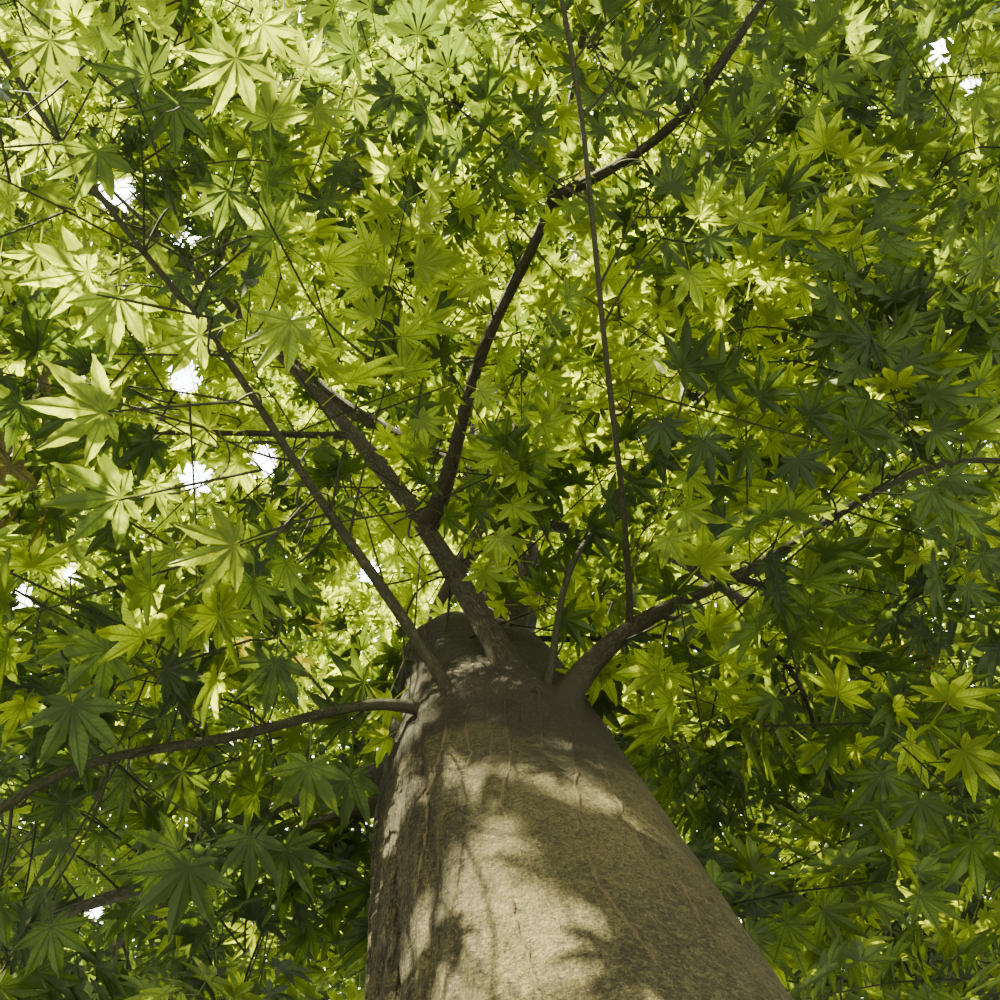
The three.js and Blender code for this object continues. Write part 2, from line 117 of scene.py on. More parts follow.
# %% [markdown]
# The rows of boughs
#
# Each bough has one row: the limb it springs from, how far along it, the side of the trunk, its first
# heading and rise, how both change along it, its two radii, and the stem of foliage beyond its tip. The
# boughs round the leader come in even tiers, so three rows and a loop are enough for those.

# %% Rows of the boughs
BOUGH_KEYS = ("name on at side out head rise length turn lift sway base tip "
              "stem stem_turn stem_lift").split()
BOUGHS = [
    ("leader", "trunk", 2.6, 0, 0, 0, 70, 3.2, -107, 30, -99, 0.060, 0.018, 1.1, 100, -14),
    ("centre", "trunk", 2.1, -82, 0.13, -148, 74, 1.48, 4, -35, 1, 0.021, 0.012, 1.9, 6, -22),
    ("front", "centre", 0.33, 0, 0, -61, 28, 0.64, -16, -14, -11, 0.014, 0.010, 1.5, -20, 15),
    ("front_right", "front", 0.96, 0, 0, -27, -13, 0.45, -29, 18, 7, 0.009, 0.007, 1.5, 8, 25),
    ("left_high", "centre", 0.58, 0, 0, 179, -6, 0.43, 7, -8, 2, 0.008, 0.006, 1.5, -6, 20),
    ("right", "trunk", 2.1, -68, 0.13, -34, 66, 1.12, 42, -60, 21, 0.019, 0.007, 1.7, -20, 24),
    ("right_low", "right", 0.46, 0, 0, 18, 2, 0.54, 1, 21, 4, 0.007, 0.005, 1.5, 10, -22),
    ("right_back", "right", 0.27, 0, 0, 12, -17, 0.35, 58, -3, -19, 0.007, 0.005, 1.4, -20, 38),
    ("left", "trunk", 2.13, -127, 0.14, -155, 3, 0.475, -56, -49, -20, 0.011, 0.006, 1.5, 6, 66),
    ("diagonal", "trunk", 2.12, -116, 0.13, -123, 26, 0.635, -7, -20, -4, 0.010, 0.007, 1.3, 34, -6),
    ("upright", "right", 0.21, 0, 0, -92, -4, 0.78, -11, 8, -3, 0.006, 0.0045, 1.3, 18, 10),
    ("short", "trunk", 2.12, -74, 0.13, -60, 59, 0.48, 20, -4, -18, 0.007, 0.005, 1.1, 30, -12),
    ("behind", "trunk", 2.56, -70, 0.06, -33, -7, 0.35, 63, 14, 15, 0.008, 0.006, 1.3, 4, 56),
    ("back_right", "trunk", 2.42, 40, 0.09, 44, 38, 0.95, 12, -14, 8, 0.022, 0.012, 1.7, -8, -10),
    ("back", "trunk", 2.48, 92, 0.08, 88, 40, 0.95, 10, -14, -8, 0.024, 0.012, 1.7, 8, -12),
    ("back_left", "trunk", 2.38, 140, 0.09, 140, 36, 1.0, -8, -12, 9, 0.022, 0.011, 1.7, 8, -12),
    ("back_low", "trunk", 2.24, 78, 0.10, 72, 12, 0.7, 12, -6, 6, 0.012, 0.007, 1.5, 4, -4),
    ("left_low", "trunk", 2.2, 165, 0.10, 160, 14, 0.7, -12, -6, -6, 0.012, 0.007, 1.6, 6, 2),
]
TIER_KEYS = "name count at climb head rise length lift base tip stem stem_lift".split()
TIERS = [
    ("low", 4, 0.2, 0.025, 24, 34, 1.12, -8, 0.026, 0.013, 1.7, -12),
    ("mid", 4, 0.45, 0.025, 68, 42, 0.82, -6, 0.020, 0.011, 1.5, -6),
    ("high", 3, 0.74, 0.03, 20, 46, 0.48, 4, 0.013, 0.008, 1.25, 6),
]


def bough_rows():
    rows = [dict(zip(BOUGH_KEYS, row)) for row in BOUGHS]
    for tier_row in TIERS:
        tier = dict(zip(TIER_KEYS, tier_row))
        for place in range(tier["count"]):
            odd = place % 2
            rows.append(dict(
                name=f"{tier['name']}_{place + 1}", on="leader", at=tier["at"] + tier["climb"] * place,
                side=0, out=0, head=tier["head"] + 360 * place / tier["count"], rise=tier["rise"],
                length=tier["length"], turn=-12 if odd else 12, lift=tier["lift"], sway=7 if odd else -7,
                base=tier["base"], tip=tier["tip"], stem=tier["stem"], stem_turn=8 if odd else -8,
                stem_lift=tier["stem_lift"]))
    return rows


ROWS = bough_rows()
print("boughs:", len(ROWS))

# %% [markdown]
# Bent lines
#
# A bough is never straight, and it isn't random either: it turns, lifts and sways evenly along its
# length. A curve object with handles could be drawn for each, but a walk of short steps with a changing
# heading needs only a few numbers, and it gives the same line here as in the plain model.


# %% Lines of the limbs and of the stems beyond their tips
def unit(vector):
    return vector / np.linalg.norm(vector)


def sizes(vectors):
    return np.linalg.norm(vectors, axis=1)


def walked(line):
    return np.concatenate([[0], np.cumsum(sizes(np.diff(line, axis=0)))])


def direction(head, rise):
    flat = math.cos(math.radians(rise))
    return np.array([flat * math.cos(math.radians(head)), flat * math.sin(math.radians(head)),
                     math.sin(math.radians(rise))])


def bent_line(start, head, rise, length, turn, lift, sway, steps=CURVE_STEPS):
    points = [np.array(start, float)]
    for step in range(steps):
        share = (step + 0.5) / steps
        turned = head + turn * share + sway * math.sin(2 * math.pi * share)
        points.append(points[-1] + direction(turned, rise + lift * share) * length / steps)
    return np.array(points)


def line_direction(points, index):
    return unit(points[min(len(points) - 1, index + 1)] - points[max(0, index - 1)])


def trunk_axis(height):
    gone = np.sqrt(height * height + LEAN_SOFTENS ** 2) - LEAN_SOFTENS
    return np.stack([LEAN_X * gone, LEAN_Y * gone, height + 0 * gone], axis=-1)


def place_limbs():
    limbs = {}
    for row in ROWS:
        if row["on"] == "trunk":
            start = trunk_axis(row["at"]) + direction(row["side"], 0) * row["out"]
        else:
            start = limbs[row["on"]]["line"][round(row["at"] * CURVE_STEPS)]
        line = bent_line(start, *(row[key] for key in "head rise length turn lift sway".split()))
        foot = line[-1] + line_direction(line, CURVE_STEPS) * GAP
        stem = bent_line(foot, row["head"] + row["turn"], row["rise"] + row["lift"], row["stem"],
                         row["stem_turn"], row["stem_lift"], 0)
        limbs[row["name"]] = dict(row=row, line=line, stem=stem)
    return limbs


LIMBS = place_limbs()
MASSES = list(LIMBS.values())
MIDDLES = np.array([mass["stem"][round(MASS_MIDDLE * CURVE_STEPS)] for mass in MASSES])
print("masses of foliage:", len(MASSES))

# %% [markdown]
# Room for a twig
#
# Every mass of foliage keeps to its own space: the points that lie nearer to its middle than to any
# other's, inside the crown's dome and above its hollow underside. Growth that leaves the space, or runs
# into a limb, is skipped. The tests take whole arrays of points, because they run thousands of times.

# %% Tests for room
SEGMENTS = 6
LIMB_CLEARANCE = 0.026
TRUNK_CLEARANCE = 0.23
TIP_MARGIN = 0.04
stride = CURVE_STEPS // SEGMENTS
SEGMENT_STARTS = np.concatenate([limb["line"][0:CURVE_STEPS:stride] for limb in MASSES])
SEGMENT_ENDS = np.concatenate([limb["line"][stride::stride] for limb in MASSES])
SEGMENT_RADII = np.concatenate([
    limb["row"]["base"] + (limb["row"]["tip"] - limb["row"]["base"]) * np.arange(SEGMENTS) / SEGMENTS
    for limb in MASSES])


def smooth_step(start, end, value):
    share = np.clip((value - start) / (end - start), 0, 1)
    return share * share * (3 - 2 * share)


def inside_crown(points):
    aside = np.hypot(points[:, 0] - CROWN["x"], points[:, 1] - CROWN["y"]) / CROWN["radius"]
    under = CROWN["waist"] - CROWN["floor"] + CROWN_UNDERSIDE
    span = np.where(points[:, 2] > CROWN["waist"], CROWN["top"] - CROWN["waist"], under)
    above = np.abs(points[:, 2] - CROWN["waist"]) / span
    far = (points[:, 0] - HOLLOW["x"]) ** 2 + (points[:, 1] - HOLLOW["y"]) ** 2
    hollow = HOLLOW["depth"] * smooth_step(HOLLOW["start"], HOLLOW["end"], points[:, 0])
    hollow = hollow * np.exp(-far / (2 * HOLLOW["spread"] ** 2))
    return (aside ** CROWN_POWER + above ** CROWN_POWER < 1) & (points[:, 2] > CROWN["floor"] + hollow)


def inside_space(points, index, margin=SPACE_MARGIN):
    squares = ((points[:, None, :] - MIDDLES[None]) ** 2).sum(axis=2)
    apart = sizes(MIDDLES - MIDDLES[index])
    room = squares - squares[:, index:index + 1] > 2 * margin * apart
    room[:, index] = True
    return room.all(axis=1) & inside_crown(points)


def clear_of_wood(points, clearance=LIMB_CLEARANCE, trunk_clearance=TRUNK_CLEARANCE):
    along = SEGMENT_ENDS - SEGMENT_STARTS
    reach = points[:, None, :] - SEGMENT_STARTS[None]
    share = np.clip((reach * along).sum(axis=2) / (along ** 2).sum(axis=1), 0, 1)
    gap = np.linalg.norm(reach - share[:, :, None] * along, axis=2)
    away = points - trunk_axis(points[:, 2])
    free = (np.hypot(away[:, 0], away[:, 1]) > trunk_clearance) | (points[:, 2] > TRUNK_TIP + TIP_MARGIN)
    return (gap > SEGMENT_RADII + clearance).all(axis=1) & free


def allowed(points, index):
    return inside_space(points, index) & clear_of_wood(points)


print("limb segments tested:", len(SEGMENT_STARTS))

# %% [markdown]
# The rule for the main twigs
#
# The plain model gives each mass three opposite pairs of twigs, drawn from a seeded run of numbers, and
# each of its big leaves stands for a whole spray. The same run is drawn again here, number for number,
# so that the real sprays grow exactly where those leaves are.

# %% Main twigs and sprays, as in the plain model
STEM_LEAST = 0.35
STEM_ROOT = 0.95
STEM_TAPER = 0.6
ROOM_AHEAD = 0.8
TWIG_PAIRS = 3
TWIG_ANGLE = 54
ANGLE_VARIES = 16
PAIR_ROLLS = (10, 64)
ROLL_VARIES = 24
TWIG_TURNS = (0, 40, -45, 85)
TWIG_LENGTH = 0.86
TWIG_SHORTENS = 0.3
TWIG_TRIMS = (1, 0.85, 0.7, 0.55, 0.42, 0.3)
TWIG_SHARE = 0.45
TWIG_FOOT = 0.04
PATH_SAMPLES = 6
SIDE_LEAVES = ((-1, 0.68), (1, 0.4))
SIDE_FORWARD = 0.6
SIDE_OUT = 0.8
SPRAY_LENGTH = 0.35
SPRAY_VARIES = 0.3
SPRAY_WIDTH = 0.6
SPRAY_WIDEST = 0.42
SPRAY_STEEPEST = 0.6
SPRAY_TILT = 0.9
END_DROOP = 0.28
SIDE_DROOP = 0.34
SEED = 20
SEED_STRIDE = 97
WORD = 0xFFFFFFFF
DRAWN_RADII = {"centre": (0.0180, 0.0100), "front": (0.0120, 0.0080), "right": (0.0150, 0.0050),
               "left_high": (0.0062, 0.0048), "diagonal": (0.0062, 0.0044), "left": (0.0058, 0.0044),
               "short": (0.0045, 0.0034), "upright": (0.0038, 0.0030), "right_back": (0.0034, 0.0024),
               "right_low": (0.0048, 0.0038), "behind": (0.0050, 0.0040)}
print("boughs drawn with their own radii:", len(DRAWN_RADII))

# %% [markdown]
# The seeded run of numbers
#
# The plain model was made in another program, whose random numbers differ from those here. So it used
# a few lines of whole-number arithmetic instead, and the same lines give the same run here. A varied
# spray takes its length and its tilt from that run.


# %% Random numbers and varied sprays
def seeded_random(seed):
    state = seed & WORD

    def draw():
        nonlocal state
        state = (state + 0x6D2B79F5) & WORD
        mixed = ((state ^ (state >> 15)) * (1 | state)) & WORD
        mixed = ((mixed + (((mixed ^ (mixed >> 7)) * (61 | mixed)) & WORD)) & WORD) ^ mixed
        return ((mixed ^ (mixed >> 14)) & WORD) / 4294967296

    return draw


def aside_of(along, before=None):
    aside = np.cross((0, 0, 1), along) if before is None else np.array(before, float)
    if np.linalg.norm(aside) < (0.02 if before is None else 1e-6):
        aside = np.array([1.0, 0, 0])
    return unit(aside - along * aside.dot(along))


def varied_spray(draw, root, along, aside, droop):
    length = SPRAY_LENGTH * (1 + SPRAY_VARIES * (draw() - 0.5))
    out = np.array(along, float)
    out[2] = min(SPRAY_STEEPEST, out[2] - droop)
    tilted = np.array(aside, float)
    tilted[2] += SPRAY_TILT * (draw() - 0.5)
    out = unit(out)
    return dict(root=root, along=out, aside=aside_of(out, tilted), length=length)


def spray_probes(spray):
    root, length = spray["root"], spray["length"]
    tip = root + spray["along"] * length
    middle = root + spray["along"] * SPRAY_WIDEST * length
    left = middle + spray["aside"] * 0.5 * SPRAY_WIDTH * length
    right = middle - spray["aside"] * 0.5 * SPRAY_WIDTH * length
    return np.array([
        tip, left, right, middle, (tip + middle) / 2, (root + middle) / 2, (tip + left) / 2,
        (tip + right) / 2, root + 0.6 * (left - root), root + 0.6 * (right - root),
        (middle + left) / 2, (middle + right) / 2])


sample = seeded_random(SEED)
print("the run starts with", round(sample(), 4), round(sample(), 4))

# %% [markdown]
# Growing the main twigs
#
# A twig is tried at its full length and then shorter, until its end spray and its path find room. The
# two side sprays are kept where they have room too. Where a twig finds none, it is turned and tried again.


# %% Grow the main twigs
def grow_twig(draw, start, heading, length, index):
    aside = aside_of(heading)
    for trim in TWIG_TRIMS:
        end = start + heading * length * trim
        tip_spray = varied_spray(draw, end, heading, aside, END_DROOP)
        if not allowed(spray_probes(tip_spray), index).all():
            continue
        foot = start + heading * TWIG_FOOT
        path = foot + (end - foot) * (np.arange(1, PATH_SAMPLES + 1) / PATH_SAMPLES)[:, None]
        if not allowed(path, index).all():
            continue
        sprays = [tip_spray]
        for hand, at in SIDE_LEAVES:
            along = heading * SIDE_FORWARD + aside * hand * SIDE_OUT
            spray = varied_spray(draw, start + (end - start) * at, along, aside_of(unit(along)), SIDE_DROOP)
            if allowed(spray_probes(spray), index).all():
                sprays.append(spray)
        return dict(start=start, end=end, sprays=sprays)
    return None


def stem_reach(mass, index):
    reach = round(STEM_LEAST * CURVE_STEPS)
    while reach < CURVE_STEPS:
        point = mass["stem"][reach + 1]
        ahead = line_direction(mass["stem"], reach + 1) * ROOM_AHEAD * SPRAY_LENGTH
        if not allowed((point + ahead)[None], index).all():
            break
        reach += 1
    return reach


def twig_heading(draw, stem, at, side, roll_start):
    along = line_direction(stem, at)
    level = aside_of(along)
    lifted = np.cross(along, level)
    roll = math.radians(roll_start + ROLL_VARIES * (draw() - 0.5))
    angle = math.radians(TWIG_ANGLE + ANGLE_VARIES * (draw() - 0.5))
    outward = level * side * math.cos(roll) + lifted * side * math.sin(roll)
    return along * math.cos(angle) + outward * math.sin(angle)


def grow_main_twigs(mass, index):
    draw = seeded_random(SEED + index * SEED_STRIDE)
    reach = stem_reach(mass, index)
    stem = mass["stem"]
    end_along = line_direction(stem, reach)
    mass["reach"] = reach
    tip = DRAWN_RADII.get(mass["row"]["name"], (0, mass["row"]["tip"]))[1]
    mass["radius_at"] = lambda share: tip * (STEM_ROOT - STEM_TAPER * share)
    end_spray = varied_spray(draw, stem[reach], end_along, aside_of(end_along), END_DROOP)
    twigs = []
    for pair in range(TWIG_PAIRS):
        share = (pair + 0.5) / TWIG_PAIRS
        at = math.floor(share * reach + 0.5)
        for side in (-1, 1):
            for turned in TWIG_TURNS:
                heading = twig_heading(draw, stem, at, side, PAIR_ROLLS[pair % 2] + turned)
                length = TWIG_LENGTH * (1 - TWIG_SHORTENS * share)
                twig = grow_twig(draw, stem[at], heading, length, index)
                if twig:
                    twig["radius"] = TWIG_SHARE * mass["radius_at"](share)
                    twigs.append(twig)
                    if len(twig["sprays"]) > 1:
                        break
    mass["twigs"] = twigs
    mass["sprays"] = [end_spray]


for index, mass in enumerate(MASSES):
    grow_main_twigs(mass, index)
print("main twigs:", sum(len(mass["twigs"]) for mass in MASSES))
print("their sprays:", sum(len(twig["sprays"]) for mass in MASSES for twig in mass["twigs"]))

# %% [markdown]
# The trunk
#
# The trunk is a smooth leaning column with a root flare, shallow flutes and a warty burr. It could be
# sculpted by hand, but a circle extruded ring by ring keeps the taper and the lean exact. A voxel remesh
# then melts the burr and the boughs' collars into it, the way bark grows over a joint.

# %% Radius of the trunk at any height and angle
TRUNK_SIDES = 56
TRUNK_RINGS = 60
RINGS_CROWD_LOW = 1.25


def trunk_radius(height, angle):
    shaft = TRUNK_RADIUS_LOW + (TRUNK_RADIUS_HIGH - TRUNK_RADIUS_LOW) * min(1, height / TRUNK_TAPER_TO)
    shoulder = smooth_step(*SHOULDER, height)
    buttress = math.cos(FLARE["buttresses"] * angle + FLARE["turn"])
    flare = FLARE["out"] * math.exp(-height / FLARE["height"])
    flare *= FLARE["rounded"] + (1 - FLARE["rounded"]) * buttress
    flute = FLUTE["deep"] * math.cos(FLUTE["count"] * angle + height / FLUTE["twist"])
    return shaft + (TIP_RADIUS - shaft) * shoulder + flare + flute * (1 - shoulder)


def extruded_trunk():
    bpy.ops.mesh.primitive_circle_add(vertices=TRUNK_SIDES, radius=TRUNK_RADIUS_LOW, fill_type="NGON")
    trunk = bpy.context.object
    trunk.name = "trunk_bark"
    bpy.ops.object.mode_set(mode="EDIT")
    bpy.ops.mesh.select_mode(type="FACE")
    bpy.ops.mesh.select_all(action="SELECT")
    before = 0.0
    for ring in range(1, TRUNK_RINGS + 1):
        height = TRUNK_TIP * (ring / TRUNK_RINGS) ** RINGS_CROWD_LOW
        step = trunk_axis(height) - trunk_axis(before)
        bpy.ops.mesh.extrude_region_move(TRANSFORM_OT_translate={"value": tuple(step)})
        before = height
    bpy.ops.mesh.select_all(action="SELECT")
    bpy.ops.mesh.normals_make_consistent(inside=False)
    bpy.ops.object.mode_set(mode="OBJECT")
    for vertex in trunk.data.vertices:
        centre = trunk_axis(vertex.co.z)
        angle = math.atan2(vertex.co.y - centre[1], vertex.co.x - centre[0])
        radius = trunk_radius(vertex.co.z, angle)
        vertex.co.x = centre[0] + radius * math.cos(angle)
        vertex.co.y = centre[1] + radius * math.sin(angle)
    return trunk


trunk = extruded_trunk()
print("trunk rings:", TRUNK_RINGS, "corners:", len(trunk.data.vertices))

# %% [markdown]
# The burr and the collars
#
# Most of the boughs in view spring from one warty ledge on the near side. A scaled ball is its body and
# small balls on its upper edge are its lumps. A cone that narrows along each bough is the collar of bark
# that swells round the bough's root, and another runs down the trunk below it, the way a root's bark does.

# %% Burr, lumps and collars, melted into the trunk
TRUNK_VOXEL = 0.0068
COLLAR_LENGTH = 0.12
COLLAR_SWELL = 1.55
COLLAR_SHARE = 8.0
COLLAR_SINK = 0.035
TAIL_LENGTH = 6.5
TAIL_SWELL = 1.45
BURR_DRAWN = np.array([0.94, 0.60, 0.94])
LUMPS = 34
LUMP_SIZE = (0.006, 0.013)
LUMP_SIDES = (-121, -78)
LUMP_HEIGHTS = (2.125, 2.20)
LUMP_OUT = 0.139

burr_middle = trunk_axis(BURR["height"]) + direction(BURR["side"], 0) * BURR["out"]
burr_form = np.array([BURR["wide"], BURR["deep"], BURR["tall"]])
rng = np.random.default_rng(7)
TRUNK_BOUGHS = [mass for mass in MASSES if mass["row"]["on"] == "trunk" and mass["row"]["name"] != "leader"]


def apply_place(piece):
    bpy.ops.object.select_all(action="DESELECT")
    piece.select_set(True)
    bpy.context.view_layer.objects.active = piece
    bpy.ops.object.transform_apply(location=True, rotation=True, scale=True)
    return piece


def add_and_apply(piece, kind, **settings):
    bpy.context.view_layer.objects.active = piece
    modifier = piece.modifiers.new(kind.lower(), kind)
    for key, value in settings.items():
        setattr(modifier, key, value)
    bpy.ops.object.modifier_apply(modifier=modifier.name)


def ball(middle, form, subdivisions=3):
    bpy.ops.mesh.primitive_ico_sphere_add(subdivisions=subdivisions, radius=1, location=tuple(middle))
    bpy.ops.transform.resize(value=tuple(form))
    return apply_place(bpy.context.object)


def cone_between(start, end, radius_start, radius_end):
    turn = Vector(end - start).to_track_quat("Z", "Y").to_euler()
    bpy.ops.mesh.primitive_cone_add(vertices=18, radius1=radius_start, radius2=radius_end,
                                    depth=float(np.linalg.norm(end - start)),
                                    location=tuple((start + end) / 2), rotation=turn)
    return apply_place(bpy.context.object)


def on_trunk(point, out=0.0):
    centre = trunk_axis(point[2])
    angle = math.atan2(point[1] - centre[1], point[0] - centre[0])
    return centre + direction(math.degrees(angle), 0) * (trunk_radius(point[2], angle) + out)


def drawn_base(limb):
    return DRAWN_RADII.get(limb["row"]["name"], (limb["row"]["base"], 0))[0]


def collar_of(limb):
    start, along, base = limb["line"][0], line_direction(limb["line"], 0), drawn_base(limb)
    length = max(COLLAR_SINK, min(COLLAR_LENGTH, COLLAR_SHARE * base)) - COLLAR_SINK
    step = round(length / limb["row"]["length"] * CURVE_STEPS)
    return start - along * COLLAR_SINK, limb["line"][step], base


def tail_of(limb):
    start, base = limb["line"][0], drawn_base(limb)
    end = on_trunk(start - np.array([0, 0, TAIL_LENGTH * base]), -0.004)
    return start, end, base


print("boughs on the trunk:", len(TRUNK_BOUGHS))

# %% [markdown]
# Melting the pieces into one
#
# The lumps are dealt out at random along the burr's upper edge. Then everything is joined, remeshed in
# small cubes and smoothed, which leaves soft hollows where one form meets another.

# %% Join, remesh and smooth
extras = [ball(burr_middle, burr_form * BURR_DRAWN)]
for lump in range(LUMPS):
    side, height = rng.uniform(*LUMP_SIDES), rng.uniform(*LUMP_HEIGHTS)
    out = LUMP_OUT + 0.018 * math.cos(math.radians(side - BURR["side"])) - 0.25 * (height - LUMP_HEIGHTS[0])
    spot = trunk_axis(height) + direction(side, 0) * out
    extras.append(ball(spot, np.full(3, rng.uniform(*LUMP_SIZE)), 2))
for limb in TRUNK_BOUGHS:
    low, high, base = collar_of(limb)
    extras.append(cone_between(low, high, base * COLLAR_SWELL + 0.003, base * 0.9))
    low, high, base = tail_of(limb)
    extras.append(cone_between(low, high, base * TAIL_SWELL, 0.003))
bpy.ops.object.select_all(action="DESELECT")
for extra in extras:
    extra.select_set(True)
trunk.select_set(True)
bpy.context.view_layer.objects.active = trunk
bpy.ops.object.join()
add_and_apply(trunk, "REMESH", mode="VOXEL", voxel_size=TRUNK_VOXEL, use_smooth_shade=True)
add_and_apply(trunk, "SMOOTH", factor=0.6, iterations=7)
print("trunk faces after the remesh:", len(trunk.data.polygons))

# %% [markdown]
# Relief on the trunk
#
# The bark is smooth, with long low folds on the side where it bulges and coarse warts along the burr.
# They are wide enough to be real geometry, so each corner of the mesh is moved along its own normal.
# Grain finer than the mesh is left to the material.

# %% Folds, dimples and warts
FOLD_DEEP = 0.0085
FOLDS_AROUND = 13.0
FOLDS_ALONG = 1.6
SWELL_DEEP = 0.005
DIMPLE_DEEP = 0.0016
WART_DEEP = 0.0045
FOLD_SIDE = -168
SIDE_SWELL = 0.017
# Height and sides of the painted shade high on the near side of the trunk, under the boughs
PAINTED_SHADE_FROM = (1.93, 2.10)
PAINTED_SHADE_SIDES = (-155, -30)


def read_points(mesh, source="vertices", field="co"):
    values = np.empty(len(getattr(mesh, source)) * 3, np.float32)
    getattr(mesh, source).foreach_get(field, values)
    return values.reshape(-1, 3).astype(float)


def store(mesh, name, values):
    mesh.attributes.new(name, "FLOAT", "POINT").data.foreach_set("value", values.astype(np.float32))


def noise_at(points, scale, seed=0.0):
    return np.array([noise.noise(Vector(point * scale) + Vector((seed, seed, seed))) for point in points])


def distance_to(points, start, end):
    along = end - start
    share = np.clip((points - start) @ along / along.dot(along), 0, 1)
    return sizes(points - start - share[:, None] * along)


def round_trunk(points):
    away = points - trunk_axis(points[:, 2])
    return np.arctan2(away[:, 1], away[:, 0])


print("folds run round the trunk", FOLDS_AROUND, "times as fast as along it")

# %% [markdown]
# Where the bark is dark or warty
#
# Four things change over the trunk: how dark the bark is, how warty, how deep it lies in a fold, and
# how far round it is to the folded side. The darkness is partly the bark's own colour round the roots of
# the boughs and partly painted shade high on the near side under them. Each is worked out as one number
# for every corner and stored on the mesh, so that the relief and the colours follow the same places.


# %% Places on the bark, and its relief
# Darkness of the bark: round the collars and tails partly the bark's own colour and partly painted shade,
# high on the near side painted shade under the boughs
def dark_and_shaded_bark(points):
    dark = np.zeros(len(points))
    for limb in TRUNK_BOUGHS:
        for start, end, base in (collar_of(limb), tail_of(limb)):
            end = end + (end - start) * 0.5
            wide = base * 1.2 + 0.012
            dark += 1 - smooth_step(wide, wide * 2.6, distance_to(points, start, end))
    wavering = points[:, 2] + 0.10 * noise_at(points, 9, 4.4) + 0.05 * noise_at(points, 26, 6.1)
    side = np.degrees(round_trunk(points))
    front = smooth_step(PAINTED_SHADE_SIDES[0] - 14, PAINTED_SHADE_SIDES[0] + 14, side)
    front *= 1 - smooth_step(PAINTED_SHADE_SIDES[1] - 20, PAINTED_SHADE_SIDES[1] + 20, side)
    high = smooth_step(*PAINTED_SHADE_FROM, wavering) * (0.45 + 0.55 * front)
    return np.clip(0.35 * dark + 0.85 * high, 0, 1)


def warty_bark(points, angle):
    middle = math.radians(sum(LUMP_SIDES) / 2)
    half = math.radians((LUMP_SIDES[1] - LUMP_SIDES[0]) / 2)
    aside = 1 - smooth_step(0.7, 1.25, np.abs(angle - middle) / half)
    height = points[:, 2] - LUMP_HEIGHTS[0]
    return aside * smooth_step(-0.03, 0.015, height) * (1 - smooth_step(0.10, 0.17, height))


def relieve_trunk(mesh):
    points = read_points(mesh)
    normals = read_points(mesh, "vertex_normals", "vector")
    heights, angle = points[:, 2], round_trunk(points)
    ring = np.stack([np.cos(angle), np.sin(angle)], 1)
    tight = np.column_stack([ring * FOLDS_AROUND, heights * FOLDS_ALONG])
    folds = 1 - 2 * np.abs(noise_at(tight, 1.0, 3.1))
    broad = noise_at(np.column_stack([ring * 1.7, heights * 1.3]), 1.0, 8.2)
    dimples = noise_at(points, 22, 5.5)
    dark, warty = dark_and_shaded_bark(points), warty_bark(points, angle)
    warts = 1 - 2 * np.abs(noise_at(points, 46, 1.3)) + 0.7 * noise_at(points, 90, 2.2)
    side = np.cos(angle - math.radians(FOLD_SIDE))
    folded = 0.10 + 0.90 * smooth_step(0.45, 0.95, side)
    out = FOLD_DEEP * (folds - 0.5) * folded + SWELL_DEEP * broad + DIMPLE_DEEP * dimples
    out = out * (1 - 0.3 * dark) + WART_DEEP * warts * warty
    out += SIDE_SWELL * smooth_step(0.5, 1.0, side) * (1 - smooth_step(2.05, 2.35, heights))
    out = out * smooth_step(0.0, 0.03, heights)
    moved = points + normals * out[:, None]
    moved[:, 2] = np.where(heights < 0.02, points[:, 2], moved[:, 2])
    mesh.vertices.foreach_set("co", moved.astype(np.float32).ravel())
    mesh.update()
    side = folded * smooth_step(0.3, 0.85, side)
    return dict(dark=dark, warty=warty, fold=(1 - folds) * folded, side=side)


for name, values in relieve_trunk(trunk.data).items():
    store(trunk.data, name, values)
    print(name, "share of the bark:", round(float(values.mean()), 3))

# %% [markdown]
# Material helpers
#
# Every finish here is a small node tree. These helpers add a node, set its plain inputs and link the
# rest, so that each material below reads as a list of what it is made of.


# %% Node helpers
def new_material(name):
    material = bpy.data.materials.new(name)
    material.use_nodes = True
    tree = material.node_tree
    tree.nodes.clear()
    return material, tree


def put(tree, socket, value):
    if isinstance(value, bpy.types.NodeSocket):
        tree.links.new(value, socket)
    else:
        socket.default_value = (*value, 1) if socket.type == "RGBA" else value


def add_node(tree, kind, inputs=(), **settings):
    node = tree.nodes.new("ShaderNode" + kind)
    for key, value in settings.items():
        setattr(node, key, value)
    for socket, value in dict(inputs).items():
        put(tree, node.inputs[socket], value)
    return node


def noise_node(tree, vector, scale, detail=4.0, roughness=0.55):
    inputs = {"Vector": vector, "Scale": scale, "Detail": detail, "Roughness": roughness}
    return add_node(tree, "TexNoise", inputs).outputs["Fac"]


def ramp(tree, factor, *stops):
    node = add_node(tree, "ValToRGB", {"Fac": factor})
    while len(node.color_ramp.elements) < len(stops):
        node.color_ramp.elements.new(0.5)
    for element, (place, colour) in zip(node.color_ramp.elements, stops):
        element.position = place
        element.color = (*colour, 1) if isinstance(colour, tuple) else (colour, colour, colour, 1)
    return node.outputs["Color"]


def mixed(tree, factor, first, second, blend="MIX"):
    inputs = {0: factor, 6: first, 7: second}
    return add_node(tree, "Mix", inputs, data_type="RGBA", blend_type=blend).outputs[2]


def times(tree, first, second):
    return mixed(tree, 1.0, first, second, "MULTIPLY")


def layered(tree, base, source, start, end, colour):
    return mixed(tree, ramp(tree, source, start, end), base, colour)


def maths(tree, operation, *values):
    return add_node(tree, "Math", enumerate(values), operation=operation).outputs[0]


def attribute(tree, name, output="Fac"):
    return add_node(tree, "Attribute", attribute_name=name).outputs[output]


def scaled(tree, vector, factors):
    return add_node(tree, "Mapping", {"Vector": vector, "Scale": factors}).outputs["Vector"]


